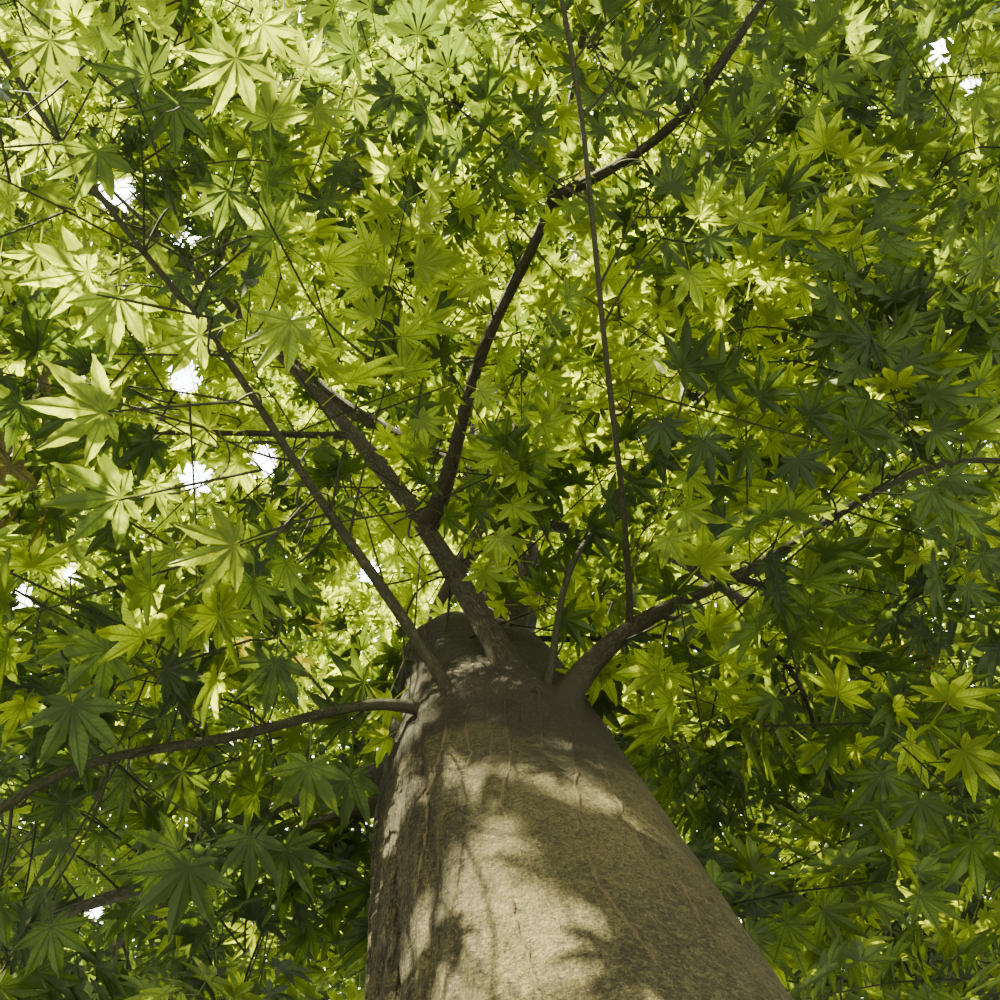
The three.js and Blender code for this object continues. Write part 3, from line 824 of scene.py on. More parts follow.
def bump(tree, height, distance, strength=1.0, under=()):
    inputs = {"Height": height, "Distance": distance, "Strength": strength}
    return add_node(tree, "Bump", inputs | ({"Normal": under} if under else {})).outputs["Normal"]


def finish_surface(tree, colour, roughness, specular=0.35, **more):
    inputs = {"Base Color": colour, "Roughness": roughness, "Specular IOR Level": specular}
    shader = add_node(tree, "BsdfPrincipled", inputs | more)
    add_node(tree, "OutputMaterial", {"Surface": shader.outputs["BSDF"]})


print("material helpers ready")

# %% [markdown]
# Trunk bark
#
# The bark is grey-tan, clouded with olive and ochre lichen, and much darker round the roots of the
# boughs, partly as its own colour and partly as painted shade under them. The hollows of the folds and the
# grooves on the folded side are darkened as painted shade too. Several noises at different sizes are laid
# over each other, because lichen shows as broad clouds, as small islands in them, and as a fine grain.

# %% Bark of the trunk
TAN = (0.044, 0.0365, 0.0145)
PALE_TAN = (0.099, 0.0825, 0.0300)
OLIVE = (0.0215, 0.0200, 0.0090)
OCHRE = (0.066, 0.056, 0.0200)
# Dark bark colour: the real dark grain, and painted shade in the folds, the grooves, under the boughs and
# at the bough roots
DARK_BARK_AND_SHADE = (0.0190, 0.0145, 0.0092)
PALE_GRAIN = (0.190, 0.160, 0.090)
PALE_FLECK = (0.24, 0.20, 0.15)
SIDE_SHADE = (0.80, 0.76, 0.70)
SEAM_BROWN = (0.104, 0.078, 0.040)


def lichen_layers(tree, place, grain, speckle):
    drawn = scaled(tree, place, (1, 1, 0.4))
    broad = noise_node(tree, drawn, 8, 3)
    islands = noise_node(tree, drawn, 30, 6, 0.68)
    clouds = noise_node(tree, drawn, 15, 6, 0.65)
    base = mixed(tree, ramp(tree, broad, (0.40, 0.0), (0.62, 1.0)), TAN, PALE_TAN)
    base = layered(tree, base, islands, (0.44, 0.0), (0.64, 0.65), OLIVE)
    base = layered(tree, base, clouds, (0.44, 0.0), (0.70, 0.75), OCHRE)
    base = layered(tree, base, grain, (0.38, 0.7), (0.52, 0.0), DARK_BARK_AND_SHADE)
    base = layered(tree, base, speckle, (0.49, 0.0), (0.63, 0.75), PALE_TAN)
    # Painted shade: the bark darkens in the hollows of the folds
    return layered(tree, base, attribute(tree, "fold"), (0.50, 0.0), (1.1, 0.9), DARK_BARK_AND_SHADE)


def trunk_material():
    material, tree = new_material("trunk bark")
    place = add_node(tree, "TexCoord").outputs["Object"]
    side = attribute(tree, "side")
    grain = noise_node(tree, place, 210, 4, 0.7)
    speckle = noise_node(tree, place, 90, 3, 0.6)
    fine = noise_node(tree, place, 620, 3, 0.75)
    streaks = noise_node(tree, scaled(tree, place, (1, 1, 0.045)), 105, 3, 0.6)
    base = lichen_layers(tree, place, grain, speckle)
    # Painted shade: the dark attribute darkens the bark under the boughs and round their roots, partly as
    # the bark's own colour
    wavering = maths(tree, "MULTIPLY", attribute(tree, "dark"), speckle)
    dark = ramp(tree, wavering, (0.10, 0.0), (0.42, 0.92))
    base = mixed(tree, dark, base, DARK_BARK_AND_SHADE)
    flecks = ramp(tree, noise_node(tree, place, 75, 4, 0.75), (0.57, 0.0), (0.63, 1.0))
    base = mixed(tree, maths(tree, "MULTIPLY", attribute(tree, "warty"), flecks), base, PALE_FLECK)
    # Painted shade: dark streaks in the grooves between the ridges on the folded side
    streaked = ramp(tree, streaks, (0.42, 0.95), (0.54, 0.0))
    base = mixed(tree, maths(tree, "MULTIPLY", side, streaked), base, DARK_BARK_AND_SHADE)
    base = mixed(tree, side, base, times(tree, base, SIDE_SHADE))
    base = times(tree, base, ramp(tree, fine, (0.36, 0.22), (0.58, 1.0)))
    specks = noise_node(tree, place, 300, 4, 0.8)
    base = layered(tree, base, specks, (0.52, 0.0), (0.68, 0.5), mixed(tree, dark, PALE_GRAIN, TAN))
    seam_bark = times(tree, SEAM_BROWN, ramp(tree, fine, (0.36, 0.4), (0.58, 1.0)))
    # The seams take the same painted shade under the boughs
    base = mixed(tree, attribute(tree, "seam"), base, mixed(tree, dark, seam_bark, DARK_BARK_AND_SHADE))
    normal = bump(tree, speckle, 0.0050, 0.9, bump(tree, grain, 0.0026, 1.0, bump(tree, fine, 0.0018)))
    finish_surface(tree, base, 0.85, 0.25, Normal=bump(tree, streaks, 0.0220, side, normal))
    return material


trunk.data.materials.clear()
trunk.data.materials.append(trunk_material())
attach(trunk, "root")
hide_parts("trunk")
print("trunk triangles:", 2 * len(trunk.data.polygons))

# %% [markdown]
# Tubes from arrays
#
# Boughs, seams and twigs are all tapering tubes along a line. A curve object with a round bevel makes
# a few of them well, but there are thousands, and an array of rings is made in a moment. Each ring
# is turned as little as the line allows, so the tube doesn't twist. Each corner also remembers where it
# would lie if the tube were straight, which is what the streaks in the bark follow.


# %% Tube builder
class Mesher:
    def __init__(self):
        self.points, self.faces, self.straight, self.count = [], [], [], 0

    def add_tube(self, line, radii, sides):
        line = np.asarray(line, float)
        steps = np.diff(line, axis=0)
        along = np.vstack([steps[:1], (steps[:-1] + steps[1:]) / 2, steps[-1:]])
        along /= sizes(along)[:, None]
        aside = aside_of(along[0])
        asides = []
        for heading in along:
            aside = aside_of(heading, aside)
            asides.append(aside)
        asides = np.array(asides)
        above = np.cross(along, asides)
        turn = 2 * np.pi * np.arange(sides) / sides
        radii = np.asarray(radii, float)
        if radii.ndim == 1:
            radii = np.repeat(radii[:, None], sides, axis=1)
        ring = asides[:, None] * np.cos(turn)[None, :, None] + above[:, None] * np.sin(turn)[None, :, None]
        points = line[:, None] + ring * radii[:, :, None]
        length = np.repeat(walked(line)[:, None], sides, 1)
        flat = np.stack([radii * np.cos(turn), radii * np.sin(turn), length], 2)
        rows = np.arange(len(line) - 1)[:, None] * sides
        side = np.arange(sides)[None]
        following = (side + 1) % sides
        quads = np.stack([rows + side, rows + following, rows + sides + following, rows + sides + side], 2)
        self.points.append(points.reshape(-1, 3))
        self.straight.append(flat.reshape(-1, 3))
        self.faces.append((quads.reshape(-1, 4) + self.count))
        self.count += points.shape[0] * sides

    def mesh(self, name):
        mesh = mesh_from_arrays(name, np.concatenate(self.points), np.concatenate(self.faces))
        lie = mesh.attributes.new("straight", "FLOAT_VECTOR", "POINT")
        lie.data.foreach_set("vector", np.concatenate(self.straight).astype(np.float32).ravel())
        return mesh


def mesh_from_arrays(name, points, faces):
    mesh = bpy.data.meshes.new(name)
    size = faces.shape[1]
    mesh.vertices.add(len(points))
    mesh.vertices.foreach_set("co", points.astype(np.float32).ravel())
    mesh.loops.add(faces.size)
    mesh.loops.foreach_set("vertex_index", faces.astype(np.int32).ravel())
    mesh.polygons.add(len(faces))
    mesh.polygons.foreach_set("loop_start", np.arange(len(faces), dtype=np.int32) * size)
    mesh.update(calc_edges=True)
    mesh.validate()
    return mesh


def new_piece(name, mesh, material, nodes, smooth=True):
    piece = bpy.data.objects.new(name, mesh)
    bpy.context.scene.collection.objects.link(piece)
    mesh.materials.append(material)
    if smooth:
        mesh.shade_smooth()
    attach(piece, "root")
    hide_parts(*nodes)
    return piece


print("tube builder ready")

# %% [markdown]
# Boughs
#
# Each bough starts inside its collar, swells there, and tapers to the stem of its foliage. Real boughs
# aren't round: they have ridges that run along them and small swellings where old twigs were. Both are
# worked into the radius of each ring before the tube is built.

# %% Boughs with ridges and swellings
BOUGH_SIDES = 14
BOUGH_RINGS = 84
BASE_SWELL = 0.50
SWELL_LENGTH = 0.055
RIDGE_SHARE = 0.10
KNOT_SHARE = 0.16
BOUGH_TAPERS = {"right": (0.34, 0.52)}


def smooth_line(points, count):
    at = np.linspace(0, len(points) - 1, count)
    return np.stack([np.interp(at, np.arange(len(points)), points[:, axis]) for axis in range(3)], 1)


def bough_radii(row, lengths, sides, seed):
    share = lengths / lengths[-1]
    base, tip = DRAWN_RADII.get(row["name"], (row["base"], row["tip"]))
    taper_at, taper_to = BOUGH_TAPERS.get(row["name"], (1, 1))
    radii = np.interp(share, [0, taper_at, 1], [base, base + (tip - base) * taper_to, tip])
    radii = radii * (1 + BASE_SWELL * np.exp(-lengths / SWELL_LENGTH))
    turn = 2 * np.pi * np.arange(sides) / sides
    grid = np.empty((len(lengths), sides))
    for ring, length in enumerate(lengths):
        knot = KNOT_SHARE * max(0, noise.noise(Vector((length * 9, seed, 0.5)))) ** 1.5 * 2
        for side, angle in enumerate(turn):
            spot = Vector((2.4 * math.cos(angle) + seed, 2.4 * math.sin(angle), length * 5))
            grid[ring, side] = radii[ring] * (1 + knot + RIDGE_SHARE * noise.noise(spot) * 2)
    return grid


boughs = Mesher()
for index, mass in enumerate(MASSES):
    row = mass["row"]
    line = smooth_line(mass["line"], BOUGH_RINGS)
    lengths = walked(line)
    boughs.add_tube(line, bough_radii(row, lengths, BOUGH_SIDES, index * 3.7), BOUGH_SIDES)
bough_mesh = boughs.mesh("boughs")
print("bough triangles:", 2 * len(bough_mesh.polygons))

# %% [markdown]
# Bough bark
#
# The boughs are dark grey-brown with fine pale streaks along them, and greener where they are young and
# slender. Close to the trunk the stout ones darken, partly as their own bark and partly as painted shade.
# The streaks are a noise stretched many times along the straightened tube.

# %% Bark of the boughs and twigs
BOUGH_DARK = (0.012, 0.0090, 0.006)
BOUGH_MID = (0.034, 0.0265, 0.016)
BOUGH_PALE = (0.085, 0.070, 0.044)
YOUNG_GREEN = (0.022, 0.026, 0.009)
ROOT_LENGTH = (0.02, 0.17)


def bough_material(name, young):
    material, tree = new_material(name)
    straight = attribute(tree, "straight", "Vector")
    streaks = noise_node(tree, scaled(tree, straight, (1, 1, 0.34)), 260, 4, 0.7)
    patches = noise_node(tree, straight, 30, 3)
    base = ramp(tree, streaks, (0.34, BOUGH_DARK), (0.52, BOUGH_MID), (0.68, BOUGH_PALE))
    base = layered(tree, base, patches, (0.4, 0.0), (0.65, young), YOUNG_GREEN)
    flat = scaled(tree, straight, (1, 1, 0))
    thick = add_node(tree, "VectorMath", {0: flat}, operation="LENGTH").outputs["Value"]
    base = layered(tree, base, thick, (0.0035, 0.75), (0.011, 0.0), YOUNG_GREEN)
    fine = noise_node(tree, straight, 520, 3, 0.7)
    base = times(tree, base, ramp(tree, fine, (0.36, 0.35), (0.58, 1.0)))
    # Stout boughs darken towards the trunk, partly as their own bark and partly as painted shade where they
    # meet it
    far = add_node(tree, "SeparateXYZ", {"Vector": straight}).outputs["Z"]
    root = ramp(tree, far, (ROOT_LENGTH[0], 0.85), (ROOT_LENGTH[1], 0.0))
    stout = ramp(tree, thick, (0.006, 0.0), (0.010, 1.0))
    base = mixed(tree, times(tree, root, stout), base, DARK_BARK_AND_SHADE)
    finish_surface(tree, base, 0.85, 0.2, Normal=bump(tree, streaks, 0.0030, 0.9, bump(tree, fine, 0.0012)))
    return material


bough_bark = bough_material("bough bark", 0.35)
twig_bark = bough_material("twig bark", 0.85)
bough_names = [mass["row"]["name"] for mass in MASSES if mass["row"]["name"] != "leader"]
limb_nodes = ["leader"] + [f"bough_{name}" for name in bough_names]
bough_piece = new_piece("boughs", bough_mesh, bough_bark, limb_nodes)
print("boughs replace", len(limb_nodes), "nodes")

# %% [markdown]
# What the viewer sees
#
# From the viewer's place the crown is seen from inside, so its lowest leaves fill most of the picture.
# These helpers say where a point shows in the picture, in pixels of a square frame, and how far away it
# is. With them the growth can be denser where it is seen close by, and leave the boughs in sight.

# %% Places in the picture
FRAME = 1000
FOCAL = FRAME * LENS / 36
VIEW_AXIS = np.array([0, math.cos(math.radians(VIEW_RISE)), math.sin(math.radians(VIEW_RISE))])
VIEW_DOWN = np.array([0, math.sin(math.radians(VIEW_RISE)), -math.cos(math.radians(VIEW_RISE))])
VIEW_FROM = np.array(VIEW_SPOT)


def seen_at(points):
    away = np.atleast_2d(points) - VIEW_FROM
    depth = np.maximum(away @ VIEW_AXIS, 1e-3)
    across = FRAME / 2 + FOCAL * away[:, 0] / depth
    down = FRAME / 2 + FOCAL * (away @ VIEW_DOWN) / depth
    return np.column_stack([across, down, depth])


def point_seen(across, down, depth):
    flat = ((across - FRAME / 2) * np.array([1.0, 0, 0]) + (down - FRAME / 2) * VIEW_DOWN) / FOCAL
    return VIEW_FROM + depth * (flat + VIEW_AXIS)


def in_picture(points, margin=90):
    seen = seen_at(points)
    ahead = (np.atleast_2d(points) - VIEW_FROM) @ VIEW_AXIS > 0.05
    return ahead & (np.abs(seen[:, :2] - FRAME / 2) < FRAME / 2 + margin).all(axis=1)


print("focal length in pixels:", FOCAL)

# %% [markdown]
# Seams on the trunk
#
# Thin raised lines wander down from the feet of the boughs, like roots under the bark. They are too fine
# for the trunk's own mesh, so each is a slender tube laid on it: a ray from the viewer's place through
# the picture finds every point of the line on the bark.

# %% Seams laid on the bark
SEAM_RADIUS = 0.0028
SEAM_STEP = 7.0
SEAMS = [
    [(506, 700), (506, 723), (511, 756), (500, 804), (520, 841), (540, 888), (556, 916), (562, 940)],
    [(512, 900), (517, 928), (528, 958), (540, 995)],
    [(538, 690), (540, 711), (542, 751), (548, 775)],
    [(566, 705), (572, 740), (576, 773), (579, 812), (593, 838), (612, 862)],
    [(590, 742), (610, 787), (640, 843), (655, 880), (668, 915)],
    [(590, 860), (598, 883), (629, 925), (652, 956), (680, 995)],
    [(680, 880), (697, 916), (719, 944), (735, 965)],
    [(470, 705), (466, 730), (470, 752), (462, 780)],
    [(489, 698), (487, 716), (493, 738), (489, 760)],
    [(520, 695), (524, 712), (521, 733), (527, 752)],
    [(446, 720), (440, 760), (428, 800), (424, 850), (414, 900)],
]


def skin_of(piece):
    corners = [vertex.co for vertex in piece.data.vertices]
    return BVHTree.FromPolygons(corners, [face.vertices for face in piece.data.polygons])


def on_bark(across, down):
    return bark_skin.ray_cast(VIEW_SPOT, Vector(point_seen(across, down, 1.0) - VIEW_FROM))


def seam_line(number, marks):
    rng = np.random.default_rng(40 + number)
    marks = np.array(marks, float)
    lengths = walked(marks)
    places = np.arange(0, lengths[-1], SEAM_STEP)
    line = []
    for place in places:
        across, down = (np.interp(place, lengths, marks[:, axis]) + rng.normal() * 1.1 for axis in (0, 1))
        spot, normal = on_bark(across, down)[:2]
        if spot:
            line.append(np.array(spot + normal * -0.0003))
    return np.array(line)


bark_skin = skin_of(trunk)
seams = Mesher()
for number, marks in enumerate(SEAMS):
    line = seam_line(number, marks)
    share = np.linspace(0, 1, len(line))
    swell = 0.65 + 0.35 * np.sin(np.arange(len(line)) * 1.7 + number)
    seams.add_tube(line, SEAM_RADIUS * swell * (1 - 0.6 * share ** 2), 6)
seam_mesh = seams.mesh("trunk_seams")
store(seam_mesh, "dark", dark_and_shaded_bark(read_points(seam_mesh)))
store(seam_mesh, "seam", np.ones(len(seam_mesh.vertices)))
new_piece("trunk_seams", seam_mesh, trunk.data.materials[0], ["trunk"])
print("seam triangles:", 2 * len(seam_mesh.polygons))

# %% [markdown]
# Finer growth
#
# The same rule is now carried on. Between the main pairs more opposite pairs spring from every stem,
# side sprays follow each other along every twig, and short leafy spurs stand along the boughs. Every
# new spray passes the same tests for room, so the crown keeps its outline and its gaps.

# %% Room for finer growth, and what has grown so far
REACH_MARGIN = 0.04
CROWD_CELL = 0.275
CROWD_LIMITS = (1, 2, 3)
CROWD_NEAR = 2.6
CLOSER_IN_PICTURE = 0.58
SPUR_CLEARANCES = (0.012, 0.2)
BEND = 0.08
twig_lines = []
sprays = []
crowd = {}


def within_box(points, margin):
    low, high = np.array(cad_box) + np.array([[margin], [-margin]])
    return ((points > low) & (points < high)).all(axis=1)


def allowed_finer(points, index):
    return allowed(points, index) & within_box(points, REACH_MARGIN)


def in_crown_clear(points, index):
    return within_box(points, 0) & inside_crown(points) & clear_of_wood(points, *SPUR_CLEARANCES)


def bowed(start, end, rng, bend=BEND, count=5):
    share = np.linspace(0, 1, count)[:, None]
    away = rng.normal(size=3) * 0.5 + np.array([0, 0, 0.6])
    bow = away * bend * np.linalg.norm(end - start) * share * (1 - share) * 4
    return start + (end - start) * share + bow


def add_twig(line, thick, thin, sides=4):
    radii = thick + (thin - thick) * np.linspace(0, 1, len(line))
    twig_lines.append((line, radii, sides))


def crowd_place(point):
    return tuple(np.floor(point / CROWD_CELL).astype(int))


def crowded(spray):
    point = spray["root"] + spray["along"] * spray["length"] * 0.5
    shown = in_picture(point)[0]
    near = shown and np.linalg.norm(point - VIEW_FROM) < CROWD_NEAR
    return crowd.get(crowd_place(point), 0) >= CROWD_LIMITS[int(shown) + int(near)]


def keep_spray(spray, mass, size=1.0):
    along, aside = unit(spray["along"]), unit(spray["aside"])
    place = crowd_place(spray["root"] + along * spray["length"] * 0.5)
    crowd[place] = crowd.get(place, 0) + 1
    sprays.append(dict(spray, along=along, aside=aside, mass=mass, size=size))


def closer(point):
    return CLOSER_IN_PICTURE if in_picture(point)[0] else 1.0


print("room is counted in cells", CROWD_CELL, "m wide")

# %% [markdown]
# Fine twigs and their sprays
#
# A fine twig is tried shorter and shorter until it and its end spray find room. Side sprays follow each
# other along it, now left, now right, and from its outer part two forks spring, which do the same
# again. Three rounds of forks bring the twigs down to shoots as thin as straws.

# %% Grow fine twigs
FINE_LENGTH = (0.40, 0.86)
FINE_TRIMS = (1, 0.8, 0.6, 0.45, 0.3, 0.18)
FINE_SPRAY = (0.20, 0.33)
SIDE_SPACING = 0.135
SIDE_START = 0.09
SIDE_STOP = 0.04
FORK_ROUNDS = 3
FORK_ANGLE = (35, 75)
FORK_LENGTH = (0.22, 0.55)
FORK_THINNEST = 0.0016


def fine_spray(rng, root, along):
    along = unit(along)
    return dict(root=root, along=along, length=rng.uniform(*FINE_SPRAY), aside=aside_of(along))


def side_sprays(rng, line, index, test=allowed_finer):
    reach_of, at = sizes(np.diff(line, axis=0)), walked(line)
    spacing = SIDE_SPACING * closer(line[len(line) // 2])
    place, hand = SIDE_START + rng.uniform(0, spacing), 1 if rng.random() < 0.5 else -1
    while place < at[-1] - SIDE_STOP:
        step = min(np.searchsorted(at, place) - 1, len(line) - 2)
        root = line[step] + (line[step + 1] - line[step]) * (place - at[step]) / reach_of[step]
        heading = unit(line[step + 1] - line[step])
        along = heading * SIDE_FORWARD + aside_of(heading) * hand * SIDE_OUT
        along[2] += rng.uniform(-0.45, 0.2)
        spray = fine_spray(rng, root, along)
        spray["aside"][2] += rng.uniform(-0.4, 0.4)
        spray["aside"] = aside_of(spray["along"], spray["aside"])
        if not crowded(spray) and test(spray_probes(spray)[:7], index).all():
            keep_spray(spray, index)
        hand = -hand
        place += spacing * rng.uniform(0.7, 1.3)


def grow_fine_twig(rng, start, heading, length, index, radius, test=allowed_finer):
    for trim in FINE_TRIMS:
        end = start + heading * length * trim
        line = bowed(start, end, rng)
        along = np.array(heading, float)
        along[2] = min(SPRAY_STEEPEST, along[2] - END_DROOP)
        spray = fine_spray(rng, end, along)
        probes = np.vstack([spray_probes(spray)[:7], line[1:]])
        if crowded(spray) or not test(probes, index).all():
            continue
        keep_spray(spray, index)
        add_twig(line, radius, 0.45 * radius, 3)
        side_sprays(rng, line, index, test=test)
        return line
    return None


def fork_twigs(rng, grown, index):
    forked = []
    for line, radius in grown:
        for hand in (-1, 1):
            start = line[rng.integers(2, len(line))]
            along = unit(line[-1] - line[0])
            angle = math.radians(rng.uniform(*FORK_ANGLE))
            heading = along * math.cos(angle) + aside_of(along) * hand * math.sin(angle)
            heading[2] += rng.uniform(-0.5, 0.5)
            length = rng.uniform(*FORK_LENGTH)
            radius = max(FORK_THINNEST, 0.6 * radius)
            forked.append((grow_fine_twig(rng, start, unit(heading), length, index, radius), radius))
    return forked


print("rounds of forks:", FORK_ROUNDS)

# %% [markdown]
# Grow every mass
#
# Each mass first takes the main twigs that the plain model has, then pairs of finer ones between them,
# then their forks. The boughs get short leafy spurs, so they aren't bare poles up to their tips.

# %% Grow the masses and the spurs
PAIR_SPACING = 0.15
FINE_ROLLS = [-50, 8, 40, 75]
SPUR_SPACING = 0.12
SPUR_LENGTH = (0.10, 0.42)
SPUR_RADIUS = 0.0022


def grow_mass_finer(mass, index):
    rng = np.random.default_rng(500 + index)
    reach, stem = mass["reach"], mass["stem"]
    grown = []
    for spray in mass["sprays"]:
        keep_spray(spray, index)
    for twig in mass["twigs"]:
        line = bowed(twig["start"], twig["end"], rng, 0.02)
        add_twig(line, twig["radius"], 0.5 * twig["radius"])
        for spray in twig["sprays"]:
            keep_spray(spray, index)
        side_sprays(rng, line, index)
        grown.append((line, twig["radius"]))
    share = 0.05
    while share < 1:
        at = min(reach, max(1, round(share * reach)))
        for side in (-1, 1):
            heading = twig_heading(rng.random, stem, at, side, rng.choice(FINE_ROLLS))
            length = rng.uniform(*FINE_LENGTH) * (1 - 0.35 * share)
            radius = 0.4 * mass["radius_at"](share)
            grown.append((grow_fine_twig(rng, stem[at], heading, length, index, radius), radius))
        shortened = mass["row"]["stem"] * reach / CURVE_STEPS
        share += rng.uniform(0.7, 1.3) * PAIR_SPACING * closer(stem[at]) / shortened
    for _ in range(FORK_ROUNDS):
        grown = fork_twigs(rng, [pair for pair in grown if pair[0] is not None], index)


def grow_spurs(mass, index, start_share):
    rng = np.random.default_rng(900 + index)
    line, length = mass["line"], mass["row"]["length"]
    share = start_share
    while share < 1:
        at = min(CURVE_STEPS - 1, round(share * CURVE_STEPS))
        heading = twig_heading(rng.random, line, at, rng.choice([-1, 1]), rng.uniform(-20, 60))
        spur = rng.uniform(*SPUR_LENGTH)
        grow_fine_twig(rng, line[at], heading, spur, index, SPUR_RADIUS, in_crown_clear)
        share += rng.uniform(0.6, 1.4) * SPUR_SPACING * closer(line[at]) / length


for index, mass in enumerate(MASSES):
    grow_mass_finer(mass, index)
    grow_spurs(mass, index, 0.12 if mass["row"]["name"] == "leader" else 0.25)
print("twigs:", len(twig_lines), "sprays:", len(sprays), "cells of the crown with leaves:", len(crowd))

# %% [markdown]
# What holds a hanging shoot
#
# Some shoots are placed one by one, where the photograph shows them. Each still has to hang on something,
# so a thin bowed twig joins it to a twig that is near it and, as far as can be, behind it as the viewer
# sees it. That keeps the joining twigs from crossing the picture.

# %% Find a holder
HOLDER_REACH = 0.66
HOLDERS = 16
HOLDER_SLACK = 0.08
ASIDE_COSTS = 2.5
HANGER = dict(bend=0.18, count=7)
twig_places = [line for line, radii, sides in twig_lines] + [mass["line"][8:] for mass in MASSES]
twig_places = np.concatenate(twig_places)


def holder_of(point, rng, behind=0.0):
    ahead = twig_places[(twig_places - VIEW_FROM) @ VIEW_AXIS > behind]
    gone, look = ahead - point, unit(point - VIEW_FROM)
    aside = sizes(gone - (gone @ look)[:, None] * look)
    cost = sizes(gone) + ASIDE_COSTS * aside
    near = np.argsort(cost)[:HOLDERS]
    return ahead[rng.choice(near[cost[near] < cost[near[0]] + HOLDER_SLACK])]


print("places that can hold a shoot:", len(twig_places))

# %% [markdown]
# Shoots close to the viewer
#
# At the left the lowest shoots hang within arm's reach of the viewer, so their leaves are the largest in
# the picture. Each row says where such a shoot starts and ends as the viewer sees it, in pixels across
# and down the picture and metres away. They are ordinary sprays, only placed one by one.

# %% Shoots placed by how they are seen
NEAR_SHOOTS = [
    (212, 318, 0.86, 92, 292, 0.70), (236, 402, 0.86, 104, 410, 0.69), (262, 470, 0.88, 112, 498, 0.69),
    (190, 262, 0.90, 70, 190, 0.80), (176, 214, 0.92, 130, 60, 0.84), (330, 420, 1.05, 262, 318, 0.90),
    (300, 520, 0.98, 170, 600, 0.80), (200, 560, 0.90, 30, 610, 0.74), (250, 640, 0.95, 110, 680, 0.80),
    (300, 760, 1.00, 170, 850, 0.84), (340, 730, 1.05, 250, 840, 0.90), (120, 760, 0.95, 40, 900, 0.86),
    (310, 300, 1.10, 240, 160, 0.95), (90, 60, 0.95, 20, 130, 0.86), (560, 500, 1.55, 516, 606, 1.36),
    (640, 560, 1.60, 566, 624, 1.40), (480, 520, 1.50, 425, 604, 1.30), (690, 640, 1.50, 622, 664, 1.36),
    (380, 800, 1.35, 300, 862, 1.10), (250, 790, 1.20, 190, 868, 1.00), (800, 640, 1.40, 742, 722, 1.18),
    (900, 700, 1.40, 848, 800, 1.16), (720, 760, 1.30, 650, 850, 1.12), (950, 850, 1.40, 880, 930, 1.18),
    (760, 880, 1.30, 830, 940, 1.14), (450, 260, 1.75, 400, 150, 1.55), (380, 220, 1.60, 330, 100, 1.40),
    (300, 200, 1.50, 270, 60, 1.30), (620, 240, 1.75, 640, 120, 1.60), (860, 140, 1.80, 900, 60, 1.60),
    (980, 180, 1.80, 960, 80, 1.60),
]
NEAR_SIZE = 1.12
NEAR_RADII = (0.0018, 0.0013)
FRONT_CELLS = 13
FRONT_DEPTHS = ((0, 300, 600, 1000), (0.98, 1.12, 1.18, 0.98))
FRONT_DEEPER = 0.28
SPRAY_USED = 0.86


def hang_shoot(number, row):
    rng = np.random.default_rng(60 + number)
    start, end = point_seen(*row[:3]), point_seen(*row[3:])
    holder = holder_of(start + np.array([0, 0, 0.08]), rng, row[2])
    if np.linalg.norm(holder - start) > HOLDER_REACH:
        return 0
    add_twig(bowed(holder, start, rng, **HANGER), *NEAR_RADII)
    length = np.linalg.norm(end - start) / SPRAY_USED
    spray = dict(root=start, along=end - start, aside=aside_of(unit(end - start)), length=length)
    keep_spray(spray, -1, NEAR_SIZE)
    return 1


def front_rows():
    rows, cell = [], FRAME / FRONT_CELLS
    for place in range(FRONT_CELLS ** 2):
        rng = np.random.default_rng(200 + place)
        across = (place % FRONT_CELLS + rng.random()) * cell
        down = (place // FRONT_CELLS + rng.random()) * cell
        depth = np.interp(across, *FRONT_DEPTHS) + FRONT_DEEPER * (1 - smooth_step(150, 480, down))
        depth += rng.uniform(-0.12, 0.15)
        turn = rng.uniform(0, 2 * math.pi)
        reach = rng.uniform(0.14, 0.24) * FOCAL / depth
        rows.append((across - reach * math.cos(turn), down - reach * math.sin(turn), depth + 0.12,
                     across, down, depth))
    return rows


hung = sum(hang_shoot(number, row) for number, row in enumerate(NEAR_SHOOTS + front_rows()))
print("shoots hung close by:", hung)

# %% [markdown]
# Shade on the bark
#
# The trunk is dappled: it lies in shade under the boughs and down its right side. A row here names a
# place on the bark as it is seen, and how far from it towards the sun a shoot hangs that shades it.

# %% Shoots that shade the trunk
BARK_SHADES = [
    (440, 700, 1.9), (480, 705, 2.1), (520, 703, 2.0), (560, 708, 2.2), (590, 716, 2.0), (500, 735, 2.15),
    (545, 738, 1.9), (462, 722, 2.2), (575, 690, 2.1), (640, 790, 2.0), (665, 830, 2.1), (690, 870, 2.0),
    (715, 910, 2.2), (740, 950, 2.0), (680, 930, 2.1), (720, 985, 2.0), (650, 872, 2.2), (385, 870, 2.0),
    (385, 940, 2.1), (430, 830, 2.0), (560, 820, 2.2), (450, 690, 2.3), (620, 745, 2.1), (535, 900, 1.8),
]
SUN_HEAD, SUN_RISE = -128.0, 44.0
SHADE_LENGTH = (0.24, 0.34)
toward_sun = direction(SUN_HEAD, SUN_RISE)


def hang_shade(number, row):
    rng = np.random.default_rng(400 + number)
    spot = on_bark(*row[:2])[0]
    if not spot:
        print("no bark at", row[:2])
        return
    middle = np.array(spot) + toward_sun * row[2]
    along = np.cross(toward_sun, rng.normal(size=3))
    along = unit(along - np.array([0, 0, 0.3 * abs(along[2])]))
    length = rng.uniform(*SHADE_LENGTH)
    start = middle - along * 0.45 * length
    add_twig(bowed(holder_of(start, rng), start, rng, **HANGER), *NEAR_RADII)
    aside = aside_of(along, np.cross(toward_sun, along))
    keep_spray(dict(root=start, along=along, aside=aside, length=length), -2)


for number, row in enumerate(BARK_SHADES):
    hang_shade(number, row)
print("shoots that shade the trunk:", len(BARK_SHADES))

# %% [markdown]
# Leaves placed one by one
#
# The largest leaves in the picture can be told apart, so each has a row of its own: where its stalk joins
# the blade, where its middle lobe ends, and its shade. All are taken to be equally long, and that tells
# how far away each hangs.

